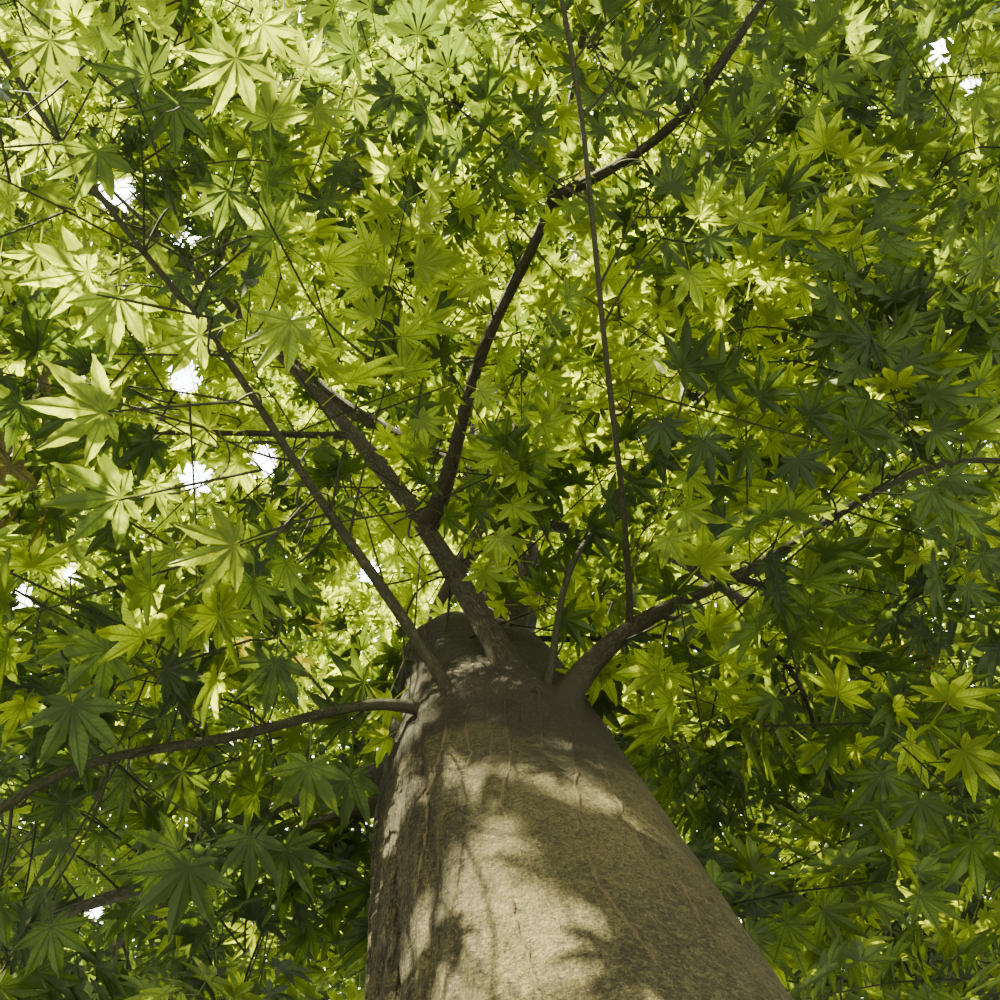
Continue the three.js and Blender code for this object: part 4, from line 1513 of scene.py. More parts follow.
# %% Single leaves close to the viewer
# The greens are partly painted light: brighter ones for leaves in sun, deeper ones for leaves in shade
NEAR_LEAVES = [
    (50, 40, 45, 105, "spring"), (147, 76, 100, 34, "leaf"), (236, 58, 215, 122, "spring"),
    (262, 24, 290, 66, "spring"), (173, 102, 180, 160, "leaf"), (97, 150, 78, 208, "fresh"),
    (48, 138, 2, 150, "lime"), (270, 120, 268, 62, "spring"), (152, 243, 150, 278, "spring"),
    (228, 190, 215, 240, "leaf"), (273, 238, 262, 185, "fresh"), (188, 50, 158, 42, "lime"),
    (42, 188, 58, 226, "spring"), (88, 272, 22, 283, "spring"), (118, 296, 113, 364, "spring"),
    (104, 412, 26, 403, "spring"), (121, 497, 46, 502, "fresh"), (200, 335, 148, 354, "spring"),
    (290, 321, 258, 378, "spring"), (208, 428, 160, 424, "lime"), (238, 462, 226, 503, "lime"),
    (155, 484, 168, 520, "spring"), (84, 619, 24, 592, "fresh"), (107, 650, 58, 698, "fresh"),
    (235, 545, 172, 566, "spring"), (275, 661, 266, 717, "leaf"), (72, 705, 86, 775, "leaf"),
    (166, 715, 150, 758, "leaf"), (300, 736, 266, 757, "fresh"), (309, 766, 306, 826, "fresh"),
    (350, 776, 345, 832, "leaf"), (182, 771, 165, 818, "leaf"), (127, 775, 124, 824, "leaf"),
    (250, 837, 252, 896, "leaf"), (178, 850, 122, 868, "fresh"), (188, 868, 170, 936, "leaf"),
    (286, 848, 315, 897, "leaf"), (255, 933, 226, 941, "spring"), (60, 840, 40, 880, "leaf"),
]
NEAR_LENGTH = 0.062
STALK = 0.72


def hang_leaf(number, across, down, tip_across, tip_down, shade):
    rng = np.random.default_rng(90 + number)
    depth = NEAR_LENGTH * FOCAL / math.hypot(tip_across - across, tip_down - down)
    joint = point_seen(across, down, depth)
    out = unit(point_seen(tip_across, tip_down, depth) - joint)
    node = joint - out * STALK * NEAR_LENGTH
    add_twig(bowed(holder_of(node, rng, depth + 0.02), node, rng, **HANGER), 0.0013, 0.0010, 3)
    sprays.append(dict(root=node, along=out, aside=aside_of(out), length=0.02, mass=-1, size=1.0,
                       shade=shade, face=VIEW_AXIS + 0.22 * rng.normal(size=3)))


for number, row in enumerate(NEAR_LEAVES):
    hang_leaf(number, *row)
print("leaves hung close by:", len(NEAR_LEAVES))

# %% [markdown]
# Sprays of leaves
#
# Maple leaves stand in opposite pairs, each on a thin stalk, and the pairs of one spray lie nearly in
# one plane. So a spray is laid out as a list of leaf places: the node on the twig, the way the stalk
# points, and the way the blade faces. Young tips bend down a little under their own weight.

# %% Where every leaf goes
NODE_SPACING = 0.047
LEAF_SIZE = 0.052
SPRAY_SAG = 0.16
LEAF_TILT = 0.30
LEAF_MISSING = 0.06
leaves = dict(node=[], out=[], face=[], size=[], spray=[])
for number, spray in enumerate(sprays):
    if "shade" in spray:
        spray["line"] = spray["root"] + spray["along"] * np.array([[-0.004], [0.0], [0.004]])
        for key, value in zip(leaves, (spray["root"], spray["along"], spray["face"], NEAR_LENGTH, number)):
            leaves[key].append(value)
        continue
    rng = np.random.default_rng(3000 + number)
    along, aside = spray["along"], spray["aside"]
    up = np.cross(along, aside)
    if up[2] < 0:
        up, aside = -up, -aside
    nodes = max(3, round(spray["length"] * SPRAY_USED / NODE_SPACING))
    at = (np.arange(nodes) + 0.6) / nodes * SPRAY_USED
    reach = spray["length"] * at
    bend = -SPRAY_SAG * spray["length"] * at ** 2
    places = spray["root"] + along * reach[:, None] + np.array([0, 0, 1.0]) * bend[:, None]
    spray["line"] = np.vstack([spray["root"], places[nodes // 2], places[-1]])
    for node in range(nodes):
        spread = math.radians(68 - 26 * at[node] + rng.uniform(-9, 9))
        last = node == nodes - 1
        hands = (-1, 1, 0) if last and rng.random() < 0.6 else (-1, 1)
        for hand in hands:
            if rng.random() < LEAF_MISSING:
                continue
            out = along * math.cos(spread * abs(hand)) + aside * math.sin(spread) * hand
            out = out + up * rng.uniform(-0.28, 0.12) + np.array([0, 0, -0.12])
            face = up + rng.normal(size=3) * LEAF_TILT
            size = LEAF_SIZE * spray["size"] * rng.uniform(0.78, 1.12) * (1.08 - 0.22 * at[node])
            for key, value in zip(leaves, (places[node], unit(out), face, size, number)):
                leaves[key].append(value)
leaves = {key: np.array(value) for key, value in leaves.items()}
print("leaves:", len(leaves["node"]))

# %% [markdown]
# Leaves that stay out of the way
#
# A leaf is left out where it would hang before the trunk, before a bough that is plain to see or before
# one of the leaves placed one by one, and where the sky shows between the masses. These helpers tell
# where that is so. Each takes every leaf at once and answers with one true or false for each.

# %% What may not be hidden
SEEN_BOUGHS = {"centre": 0.85, "front": 1.0, "right": 1.0, "diagonal": 1.0, "left": 1.0, "upright": 1.0,
               "short": 0.6, "left_high": 0.7, "front_right": 1.0}
SKY_GAPS = [(185, 380, 17), (262, 463, 17), (198, 478, 17), (370, 570, 12), (118, 194, 19), (185, 238, 12),
            (940, 50, 18), (968, 84, 11), (25, 596, 14), (70, 575, 10), (846, 692, 6), (96, 908, 14)]
TRUNK_ROWS = [620, 737, 860, 1000, 1200]
TRUNK_LEFT = [405, 372, 362, 362, 362]
TRUNK_RIGHT = [560, 608, 700, 800, 900]
TRUNK_TOP = 615
TRUNK_DEPTH = 1.35
NEAR_ROOM = 0.03


def before_boughs(seen, spread):
    hidden = np.zeros(len(seen), bool)
    for mass in MASSES:
        name = mass["row"]["name"]
        if name not in SEEN_BOUGHS:
            continue
        line = seen_at(mass["line"][:round(SEEN_BOUGHS[name] * CURVE_STEPS) + 1:3])
        for start, end in zip(line[:-1], line[1:]):
            close = distance_to(seen[:, :2], start[:2], end[:2]) < spread
            hidden |= close & (seen[:, 2] < max(start[2], end[2]))
    return hidden


def before_trunk(seen):
    left = np.interp(seen[:, 1], TRUNK_ROWS, TRUNK_LEFT)
    right = np.interp(seen[:, 1], TRUNK_ROWS, TRUNK_RIGHT)
    inside = (seen[:, 1] > TRUNK_TOP) & (seen[:, 0] > left) & (seen[:, 0] < right)
    return inside & (seen[:, 2] < TRUNK_DEPTH)


def in_sky_gap(across, down, wider):
    near = [np.hypot(across - x, down - y) < radius + wider for x, y, radius in SKY_GAPS]
    return np.any(near, axis=0)


def before_near_leaves(seen, near):
    hidden = np.zeros(len(seen), bool)
    for across, down, depth in seen[near]:
        aside = np.hypot(seen[:, 0] - across, seen[:, 1] - down)
        hidden |= (aside < 1.1 * NEAR_LENGTH * FOCAL / depth) & (seen[:, 2] < depth + NEAR_ROOM)
    return hidden & ~near


print("boughs kept in sight:", len(SEEN_BOUGHS), "gaps to the sky:", len(SKY_GAPS))

# %% [markdown]
# Ways for the sun
#
# The photograph has patches of sun on the trunk and whole sprays that glow. For both the way from the
# place towards the sun has to be open. A row below names a place, and how wide its way is, and most
# leaves that hang in the way are left out.

# %% Places the sun has to reach
SUNLIT_BARK = [(452, 770, 22, 9), (487, 774, 10, 6), (592, 762, 9, 10), (610, 808, 18, 11),
               (462, 668, 5, 8), (416, 680, 6, 12), (496, 716, 5, 3),
               (490, 850, 26, 26), (450, 920, 36, 36), (510, 950, 26, 36), (590, 955, 34, 28),
               (406, 722, 20, 12), (402, 790, 6, 30), (558, 780, 7, 5)]
SUNNY = [(150, 120, 1.6, 0.55), (120, 330, 0.8, 0.40), (330, 120, 2.4, 0.50), (470, 60, 3.0, 0.45),
         (230, 420, 1.3, 0.35), (560, 130, 3.2, 0.45), (440, 360, 2.2, 0.40), (560, 420, 2.2, 0.35),
         (640, 230, 2.8, 0.40), (700, 640, 1.2, 0.30), (640, 850, 1.1, 0.20), (850, 580, 1.3, 0.30),
         (690, 730, 1.2, 0.24), (770, 690, 1.2, 0.24), (780, 470, 1.3, 0.24), (520, 540, 1.4, 0.25),
         (760, 330, 1.2, 0.20)]
SUNNY_KEPT = 0.26
SUNNY_BEYOND = 0.4
SPOTS_EACH = 12
SPOT_TURN = 2.4


def trunk_spots():
    spots = []
    for across, down, wide, tall in SUNLIT_BARK:
        for turn in np.arange(0, SPOTS_EACH) * SPOT_TURN:
            share = math.sqrt((turn / SPOT_TURN + 0.5) / SPOTS_EACH)
            spot = on_bark(across + wide * share * math.cos(turn), down + tall * share * math.sin(turn))[0]
            if spot:
                spots.append(np.array(spot))
    return np.array(spots)


def along_the_sun(middle, spot):
    gone = (middle - spot) @ toward_sun
    return gone, sizes(middle - spot - gone[:, None] * toward_sun)


def in_the_sun_of(spots, middle, reach):
    in_the_way = np.zeros(len(middle), bool)
    for spot in spots:
        gone, aside = along_the_sun(middle, spot)
        in_the_way |= (gone > 0.06) & (aside < reach)
    return in_the_way


def shades_trunk(middle):
    shade = np.zeros(len(middle), bool)
    for height in np.arange(1.0, 2.35, 0.15):
        gone, aside = along_the_sun(middle, trunk_axis(height))
        shade |= (gone > 0) & (aside < 0.20)
    return shade


def lets_sun_in(middle, seen, shown, lots):
    guards = shades_trunk(middle)
    keep = np.ones(len(middle), bool)
    for across, down, depth, radius in SUNNY:
        gone, aside = along_the_sun(middle, point_seen(across, down, depth))
        close = shown & (seen[:, 2] < depth + SUNNY_BEYOND)
        keep &= close | (gone < 0) | (aside > radius) | (lots < SUNNY_KEPT) | guards
    return keep


bark_spots = trunk_spots()
print("sunlit places on the bark:", len(bark_spots), "sunny places in the crown:", len(SUNNY))

# %% [markdown]
# Keep or drop each leaf
#
# All these answers meet here. Leaves that nobody sees close by, on the far sides of the crown, are
# fewer and larger, which saves corners for those in the picture.

# %% Thin the leaves
FAR_SIZE = 1.5
FAR_KEPT = 0.42
SIZE_GROWS = ((1.6, 1.0), (4.2, 1.5), (6.0, 1.65))
BOX_MARGIN = 0.04
VIEWER_ROOM = 0.5


def leaves_to_keep():
    middle = leaves["node"] + leaves["out"] * (1.3 * leaves["size"])[:, None]
    seen = seen_at(middle)
    distance = sizes(middle - VIEW_FROM)
    spread = 0.55 * leaves["size"] * FOCAL / seen[:, 2]
    shown = in_picture(middle)
    lots = np.random.default_rng(11).random(len(middle))
    near = np.array(["shade" in sprays[number] for number in leaves["spray"]])
    shading = np.array([sprays[number]["mass"] == -2 for number in leaves["spray"]])
    keep = ~(shown & (before_boughs(seen, spread) | before_trunk(seen)))
    keep &= ~before_near_leaves(seen, near)
    keep |= near
    keep &= ~(shown & in_sky_gap(seen[:, 0], seen[:, 1], spread * 0.4))
    keep &= shown | (lots < FAR_KEPT)
    keep &= lets_sun_in(middle, seen, shown, lots)
    lit = np.array([number for number in np.nonzero(near)[0]
                    if sprays[leaves["spray"][number]]["shade"] in ("lime", "spring")])
    lobes = [middle[lit] + leaves["out"][lit] * NEAR_LENGTH * step for step in (-0.5, 0, 0.5)]
    keep &= near | shading | ~in_the_sun_of(np.concatenate(lobes), middle, 0.8 * leaves["size"])
    keep &= near | ~in_the_sun_of(bark_spots, middle, 0.45 * leaves["size"])
    tips = leaves["node"] + leaves["out"] * (1.7 * leaves["size"] * FAR_SIZE)[:, None]
    keep &= within_box(tips, -BOX_MARGIN) & (distance > VIEWER_ROOM)
    larger = np.interp(distance, *zip(*SIZE_GROWS))
    leaves["size"] = leaves["size"] * np.where(shown, larger, FAR_SIZE)
    return keep


kept = leaves_to_keep()
leaves = {key: value[kept] for key, value in leaves.items()}
print("leaves kept:", len(leaves["node"]))

# %% [markdown]
# Leaf blades
#
# A leaf has seven long-pointed lobes that meet at the stalk. A circle filled with a fan of triangles is
# already a leaf in the making: its middle is where the stalk joins, and its rim only has to be moved to
# the outline of the lobes. Four versions are made: a toothed one for leaves close to the viewer's
# place, a plain lobed one, a star of seven points, and one of five for all those far away.

# %% Outline of the four leaf blades
SEVEN_LOBES = [(-118, 0.42), (-77, 0.74), (-37, 0.94), (0, 1.0), (37, 0.94), (77, 0.74), (118, 0.42)]
FIVE_LOBES = [(-104, 0.62), (-50, 0.92), (0, 1.0), (50, 0.92), (104, 0.62)]
LOBES = {"toothed": SEVEN_LOBES, "lobed": SEVEN_LOBES, "star": SEVEN_LOBES, "small": FIVE_LOBES}
NOTCHES = {"toothed": 0.31, "lobed": 0.31, "star": 0.38, "small": 0.46}
BACK_ANGLE, BACK_REACH = 150, 0.10
LOBE_WIDE = 0.135
DROOP = 0.20
FOLD = 0.045
TEETH = 4


def lobe_margin(length, detail):
    if detail in ("star", "small"):
        return []
    if detail == "lobed":
        return [(0.55 * length, LOBE_WIDE * (0.35 + 0.65 * length) * 1.02)]
    margin = []
    for tooth in range(TEETH):
        share = 0.34 + 0.55 * tooth / (TEETH - 1)
        full = math.sin(math.pi * min(1, 0.12 + 0.93 * share)) ** 0.8
        wide = LOBE_WIDE * (0.35 + 0.65 * length) * full * 1.12
        margin.append((share * length, wide))
        margin.append(((share + 0.075) * length, wide * 0.80))
    return margin


def leaf_rim(detail):
    rim = [("back", -1, BACK_REACH, math.radians(-BACK_ANGLE))]
    lobes = LOBES[detail]
    count = len(lobes)
    for lobe, (angle, length) in enumerate(lobes):
        turn = math.radians(angle)
        margin = lobe_margin(length, detail)
        for forward, wide in margin:
            rim.append(("edge", lobe, math.hypot(forward, wide), turn - math.atan2(wide, forward)))
        rim.append(("tip", lobe, length, turn))
        for forward, wide in reversed(margin):
            rim.append(("edge", lobe, math.hypot(forward, wide), turn + math.atan2(wide, forward)))
        if lobe < count - 1:
            between = math.radians((angle + lobes[lobe + 1][0]) / 2)
            notch = NOTCHES[detail] * 0.5 * (length + lobes[lobe + 1][1])
            rim.append(("notch", lobe, notch, between))
    rim.append(("back", count, BACK_REACH, math.radians(BACK_ANGLE)))
    return rim


print("corners on the rims:", {detail: len(leaf_rim(detail)) for detail in LOBES})

# %% [markdown]
# From circle to blade
#
# The circle's corners are put in order round the rim and moved out to the lobes, with the tips drooping
# and the notches raised a little. A stalk is added, and a map that tells how far each corner lies from
# its lobe's middle rib, which the green uses to draw ribs.

# %% Blades with stalks
STALK_WIDE = 0.016


def leaf_blade(detail):
    rim = leaf_rim(detail)
    bpy.ops.mesh.primitive_circle_add(vertices=len(rim), radius=1, fill_type="TRIFAN")
    blade = bpy.context.object
    points = read_points(blade.data)
    around = np.arctan2(points[:, 1], points[:, 0])
    order = np.argsort(np.where(sizes(points) < 0.5, -10, around))
    faces = np.array([list(face.vertices) for face in blade.data.polygons])
    bpy.data.objects.remove(blade)
    rank = np.empty(len(order), int)
    rank[order] = np.arange(len(order))
    faces = rank[faces]
    shaped = [(0, 0, 0)]
    for kind, lobe, radius, turn in reversed(rim):
        height = -DROOP * radius ** 2 + (FOLD if kind != "tip" else 0)
        shaped.append((radius * math.sin(turn), radius * math.cos(turn), height))
    kinds = [("centre", 0)] + [row[:2] for row in reversed(rim)]
    keep = [face for face in faces if not all(kinds[corner][0] in ("back", "centre") for corner in face)]
    return np.array(shaped), np.array(keep), kinds


def blade_with_stalk(detail):
    points, faces, kinds = leaf_blade(detail)
    lobes = np.radians([angle for angle, length in LOBES[detail]])
    uv = []
    for face in faces:
        named = [kinds[corner] for corner in face if kinds[corner][0] in ("tip", "edge")]
        lobe = named[0][1] if named else 0
        axis = np.array([math.sin(lobes[lobe]), math.cos(lobes[lobe])])
        for corner in face:
            spot = points[corner, :2]
            uv.append((spot[0] * axis[1] - spot[1] * axis[0], spot.dot(axis)))
    wide = STALK_WIDE
    count = len(points)
    stalk = [(-wide, -STALK, 0), (wide, -STALK, 0)]
    stalk_faces = [(0, count, count + 1)]
    if detail in ("toothed", "lobed"):
        stalk += [(wide * 0.8, -0.02, 0.004), (-wide * 0.8, -0.02, 0.004)]
        stalk_faces = [(count, count + 1, count + 2), (count, count + 2, count + 3)]
    uv += [(0, 0)] * (3 * len(stalk_faces))
    return np.vstack([points, stalk]), np.vstack([faces, stalk_faces]), np.array(uv)


BLADES = {detail: blade_with_stalk(detail) for detail in LOBES}
for detail, (points, faces, uv) in BLADES.items():
    print(detail, "leaf triangles:", len(faces))

# %% [markdown]
# Leaf green
#
# The leaves are fresh and thin, so more of their colour comes through them than off them. Each shade is
# a plain green that the light passes through in a yellower tone, with the ribs a little darker and clouds
# of painted shadow over it, as if other leaves shaded it. Which shade a spray gets is dealt out by where
# it hangs, partly as painted light and shade, and by chance.

# %% Leaf shades
# Each shade pairs the colour seen off the leaf with the colour seen through it; the brighter greens partly
# stand for painted sunlight, the deeper ones for painted shade
SHADES = {
    "lime": ((0.150, 0.215, 0.012), (0.76, 0.90, 0.010)),
    "spring": ((0.105, 0.158, 0.012), (0.52, 0.64, 0.010)),
    "fresh": ((0.064, 0.104, 0.013), (0.290, 0.395, 0.010)),
    "leaf": ((0.041, 0.071, 0.012), (0.150, 0.222, 0.010)),
    "deep": ((0.026, 0.048, 0.010), (0.090, 0.142, 0.007)),
    "bronze": ((0.055, 0.047, 0.008), (0.24, 0.22, 0.012)),
}
SIDE_RIBS = 0.085
PAINTED_DAPPLE_DARK = 0.26


def rib_lines(tree):
    uv = add_node(tree, "UVMap", uv_map="lobe").outputs["UV"]
    parts = add_node(tree, "SeparateXYZ", {"Vector": uv}).outputs
    across = maths(tree, "ABSOLUTE", parts["X"])
    slanted = maths(tree, "MULTIPLY_ADD", across, -1.1, parts["Y"])
    waves = maths(tree, "SINE", maths(tree, "MULTIPLY", slanted, 2 * math.pi / SIDE_RIBS))
    side_rib = ramp(tree, waves, (0.55, 0.0), (0.98, 0.45))
    return mixed(tree, 1.0, ramp(tree, across, (0.006, 0.75), (0.022, 0.0)), side_rib, "LIGHTEN")


def leaf_material(name, off, through):
    material, tree = new_material("leaf " + name)
    rib = rib_lines(tree)
    place = add_node(tree, "TexCoord").outputs["Object"]
    fine = ramp(tree, noise_node(tree, place, 90, 2), (0.35, 0.35), (0.6, 0.0))
    # Painted shadow: clouds darken patches of each leaf, like the dapples that other leaves cast
    clouds = ramp(tree, noise_node(tree, place, 24, 2, 0.5), (0.44, 0.9), (0.53, 0.0))
    mottle_and_painted_dapple = mixed(tree, 1.0, clouds, fine, "LIGHTEN")
    dark = tuple(0.6 * value for value in off)
    off_colour = mixed(tree, rib, mixed(tree, mottle_and_painted_dapple, off, dark), dark)
    deeper = tuple(PAINTED_DAPPLE_DARK * value for value in through)
    through_colour = mixed(tree, rib, mixed(tree, mottle_and_painted_dapple, through, deeper), deeper)
    surface = {"Base Color": off_colour, "Roughness": 0.5, "Specular IOR Level": 0.22}
    shader = add_node(tree, "BsdfPrincipled", surface).outputs[0]
    glow = add_node(tree, "BsdfTranslucent", {"Color": through_colour}).outputs[0]
    blend = add_node(tree, "MixShader", {0: 0.5, 1: shader, 2: glow}).outputs[0]
    add_node(tree, "OutputMaterial", {"Surface": blend})
    return material


LEAF_MATERIALS = {name: leaf_material(name, off, through) for name, (off, through) in SHADES.items()}
print("leaf shades:", list(LEAF_MATERIALS))

# %% [markdown]
# Deal the shades out
#
# The crown is brightest at the upper left, where the sun comes through it, and darkest low down and at
# the far right. So each spray draws its shade by chance, with more chance for the bright ones where the
# photograph is bright: the brighter greens are partly painted light and the deeper ones partly painted
# shade, over the leaves' own range of greens. Leaves on the sides that it doesn't show get a middling mix.

# %% A shade for every spray
SHADE_NAMES = list(SHADES)
UNSEEN_BRIGHT = 0.4
BEHIND_BRIGHTER = 0.35
BRIGHT_PLACES = [(560, 450, 210, 190, 0.60), (700, 680, 130, 150, 0.90), (150, 430, 190, 140, 0.25)]


# How much painted light the green of a spray at this place in the picture stands for
def brightness(across, down, depth):
    right, low = smooth_step(560, 880, across), smooth_step(540, 740, down)
    value = 1.0 - 0.55 * right - 1.0 * low * (1 - right) - 0.40 * low * right
    value -= 0.80 * smooth_step(640, 760, across) * (1 - smooth_step(200, 340, down))
    value += BEHIND_BRIGHTER * (smooth_step(1.5, 3.6, depth) - 0.35)
    for x, y, wide, tall, more in BRIGHT_PLACES:
        value += more * math.exp(-((across - x) / wide) ** 2 - ((down - y) / tall) ** 2)
    return float(np.clip(value, 0, 1.6))


spray_shades = []
for number, spray in enumerate(sprays):
    rng = np.random.default_rng(7000 + number)
    bright = UNSEEN_BRIGHT
    if in_picture(spray["root"])[0]:
        bright = brightness(*seen_at(spray["root"])[0])
    weights = np.array([0.04 + 0.26 * bright, 0.08 + 0.13 * bright, 0.24 - 0.07 * bright,
                        0.33 - 0.15 * bright, 0.34 - 0.17 * bright, 0.012])
    dealt = rng.choice(len(SHADE_NAMES), p=weights / weights.sum())
    spray_shades.append(SHADE_NAMES.index(spray["shade"]) if "shade" in spray else dealt)
spray_shades = np.array(spray_shades)
print("sprays of each shade:", np.bincount(spray_shades))

# %% [markdown]
# Turn and place the blades
#
# A particle system could scatter the blades, but here each leaf has its own place. So the blade is
# copied by arrays: one turn and one size for each leaf, multiplied with the corners of the blade. Leaves
# close to the viewer's place get the toothed blade and the rest plainer ones.

# %% Blades in their places
NEAR_REACH = 1.3
MIDDLE_REACH = 2.7
FAR_REACH = 4.0


def leaf_points(chosen, blade):
    out = leaves["out"][chosen]
    side = np.cross(out, leaves["face"][chosen])
    side /= sizes(side)[:, None]
    up = np.cross(side, out)
    frames = np.stack([side, out, up], axis=1) * leaves["size"][chosen][:, None, None]
    base = leaves["node"][chosen] + leaves["out"][chosen] * (STALK * leaves["size"][chosen])[:, None]
    return np.einsum("vk,nkd->nvd", blade, frames) + base[:, None]


def placed_blades(wanted):
    points, faces, maps, offset = [], [], [], 0
    for level, (blade, blade_faces, uv) in enumerate(BLADES.values()):
        chosen = wanted[leaf_detail[wanted] == level]
        shifts = offset + np.arange(len(chosen)) * len(blade)
        points.append(leaf_points(chosen, blade).reshape(-1, 3))
        faces.append((blade_faces[None] + shifts[:, None, None]).reshape(-1, 3))
        maps.append(np.tile(uv, (len(chosen), 1)))
        offset += len(chosen) * len(blade)
    return np.concatenate(points), np.concatenate(faces), np.concatenate(maps)


def detail_of_leaves():
    distance = sizes(leaves["node"] - VIEW_FROM)
    shown = in_picture(leaves["node"])
    detail = np.where(shown & (distance < NEAR_REACH), 0, np.where(shown & (distance < MIDDLE_REACH), 1, 2))
    return np.where((detail == 2) & (~shown | (distance > FAR_REACH)), 3, detail)


leaf_detail = detail_of_leaves()
print("leaves with each blade:", np.bincount(leaf_detail))

# %% [markdown]
# A map of the cover
#
# Some leaves far up are hidden by many others while tiny holes stay open elsewhere. A map of the
# picture in small cells tells both: how many layers of leaves lie over a cell, and which cells no leaf
# covers. Four spots on every triangle of a blade are enough to mark its cells.

# %% Map the cover, and drop hidden leaves
COVER_CELL = 2.5
COVER_CELLS = int(FRAME / COVER_CELL)
BLADE_AREA = 0.42
LAYERS_ENOUGH = 3.6
HIDDEN_BEYOND = 2.6
HIDDEN_KEPT = 0.42
SPREADS = np.array([[1, 1, 1], [4, 1, 1], [1, 4, 1], [1, 1, 4]]) / np.array([[3], [6], [6], [6]])
BLADE_SPOTS = [np.einsum("sc,fcd->fsd", SPREADS, points[faces]).reshape(-1, 3)
               for points, faces, uv in BLADES.values()]


def cells_seen(points):
    cells = np.floor(seen_at(points)[:, :2] / COVER_CELL).astype(int) + 1
    return np.clip(cells, 0, COVER_CELLS + 1)


def cells_of(chosen, spots):
    cells = cells_seen(leaf_points(chosen, spots).reshape(-1, 3))
    return cells[:, 1].reshape(len(chosen), -1), cells[:, 0].reshape(len(chosen), -1)


def layers_of_leaves():
    layers = np.zeros((COVER_CELLS + 2, COVER_CELLS + 2))
    depth = seen_at(leaves["node"])[:, 2]
    shown = in_picture(leaves["node"])
    for level, spots in enumerate(BLADE_SPOTS):
        chosen = np.nonzero(shown & (leaf_detail == level))[0]
        rows, columns = cells_of(chosen, spots)
        area = BLADE_AREA * (leaves["size"][chosen] * FOCAL / depth[chosen] / COVER_CELL) ** 2
        np.add.at(layers, (rows, columns), np.repeat(area[:, None] / len(spots), len(spots), axis=1))
    return layers


def drop_hidden():
    layers = layers_of_leaves()
    depth = seen_at(leaves["node"])[:, 2]
    lots = np.random.default_rng(12).random(len(depth))
    keep = np.ones(len(depth), bool)
    far = in_picture(leaves["node"], 0) & (depth > HIDDEN_BEYOND)
    for level in (2, 3):
        chosen = np.nonzero(far & (leaf_detail == level))[0]
        rows, columns = cells_of(chosen, BLADE_SPOTS[level])
        hidden = np.median(layers[rows, columns], axis=1) > LAYERS_ENOUGH
        keep[chosen] = ~hidden | (lots[chosen] < HIDDEN_KEPT)
    return keep


visible = drop_hidden()
leaves = {key: value[visible] for key, value in leaves.items()}
leaf_detail = leaf_detail[visible]
print("hidden leaves dropped:", int((~visible).sum()))

# %% [markdown]
# Fill the open cells
#
# Each open cell gets a leaf that stands on the node of a neighbour and points into the hole. It is drawn
# like any other leaf, so what fills the hole is ordinary growth, and the gaps that the photograph
# shows stay open.

# %% Fill cell by cell
FILL_DEPTHS = (2.3, 5.6)
FILL_APART = (0.3, 1.25)
FILL_LIMIT = 4000
FILL_BIN = 20
FILL_TILT = 0.3
fillers = {key: [] for key in leaves}


def covered_cells():
    covered = np.zeros((COVER_CELLS + 2, COVER_CELLS + 2), bool)
    shown = in_picture(leaves["node"])
    for level, spots in enumerate(BLADE_SPOTS):
        covered[cells_of(np.nonzero(shown & (leaf_detail == level))[0], spots)] = True
    covered[[0, -1]] = True
    covered[:, [0, -1]] = True
    down, across = np.mgrid[0:COVER_CELLS + 2, 0:COVER_CELLS + 2] * COVER_CELL
    covered |= in_sky_gap(across, down, 5)
    flat = np.column_stack([across.ravel(), down.ravel(), np.ones(across.size)])
    return covered | before_trunk(flat).reshape(covered.shape)


def add_filler(rng, number, spot, depth):
    node = leaves["node"][number]
    out = unit(point_seen(*spot, depth) - node)
    filler = (node, out, VIEW_AXIS + FILL_TILT * rng.normal(size=3), leaves["size"][number],
              leaves["spray"][number])
    for key, value in zip(leaves, filler):
        fillers[key].append(value)


def take_in_fillers():
    for key, values in fillers.items():
        leaves[key] = np.concatenate([leaves[key], np.array(values)])
        values.clear()


def last_filler(spots):
    node, out, face, size = (fillers[key][-1] for key in ("node", "out", "face", "size"))
    side = unit(np.cross(out, face))
    return spots @ (np.stack([side, out, np.cross(side, out)]) * size) + node + out * STALK * size


def nodes_by_bin(seen):
    bins = {}
    deep = (seen[:, 2] > FILL_DEPTHS[0]) & (seen[:, 2] < FILL_DEPTHS[1])
    for number in np.nonzero(deep & in_picture(leaves["node"]))[0]:
        bins.setdefault(tuple((seen[number, :2] // FILL_BIN).astype(int)), []).append(number)
    return bins


def fill_cells():
    covered, seen = covered_cells(), seen_at(leaves["node"])
    rows, columns = np.nonzero(~covered)
    print("open cells before:", len(rows))
    rng = np.random.default_rng(13)
    reach = 1.3 * leaves["size"] * FOCAL / seen[:, 2]
    bins = nodes_by_bin(seen)
    for pick in rng.permutation(len(rows)):
        row, column = rows[pick], columns[pick]
        if covered[row, column] or len(fillers["node"]) >= FILL_LIMIT:
            continue
        spot = (np.array([column, row]) - 0.5) * COVER_CELL
        across, down = (spot // FILL_BIN).astype(int)
        near = np.array([number for side in (-1, 0, 1) for over in (-1, 0, 1)
                         for number in bins.get((across + side, down + over), [])], int)
        apart = sizes(seen[near, :2] - spot) / reach[near]
        near = near[(apart > FILL_APART[0]) & (apart < FILL_APART[1])]
        if not len(near):
            continue
        number = rng.choice(near)
        add_filler(rng, number, spot, seen[number, 2] + rng.uniform(-0.03, 0.03))
        cells = cells_seen(last_filler(BLADE_SPOTS[leaf_detail[number]]))
        covered[cells[:, 1], cells[:, 0]] = True
    print("open cells after:", int((~covered).sum()), "leaves added:", len(fillers["node"]))


fill_cells()
take_in_fillers()
leaf_detail = detail_of_leaves()

# %% [markdown]
# Fill by rays
#
# Cells are coarse, so some holes are left between them. A ray from the viewer's place through each point
# of a fine grid tells them for certain: where it meets no leaf, no bark and no bough, it ends in the
# sky. Rays are slow, so they are cast only where the map says that the cover is thin.

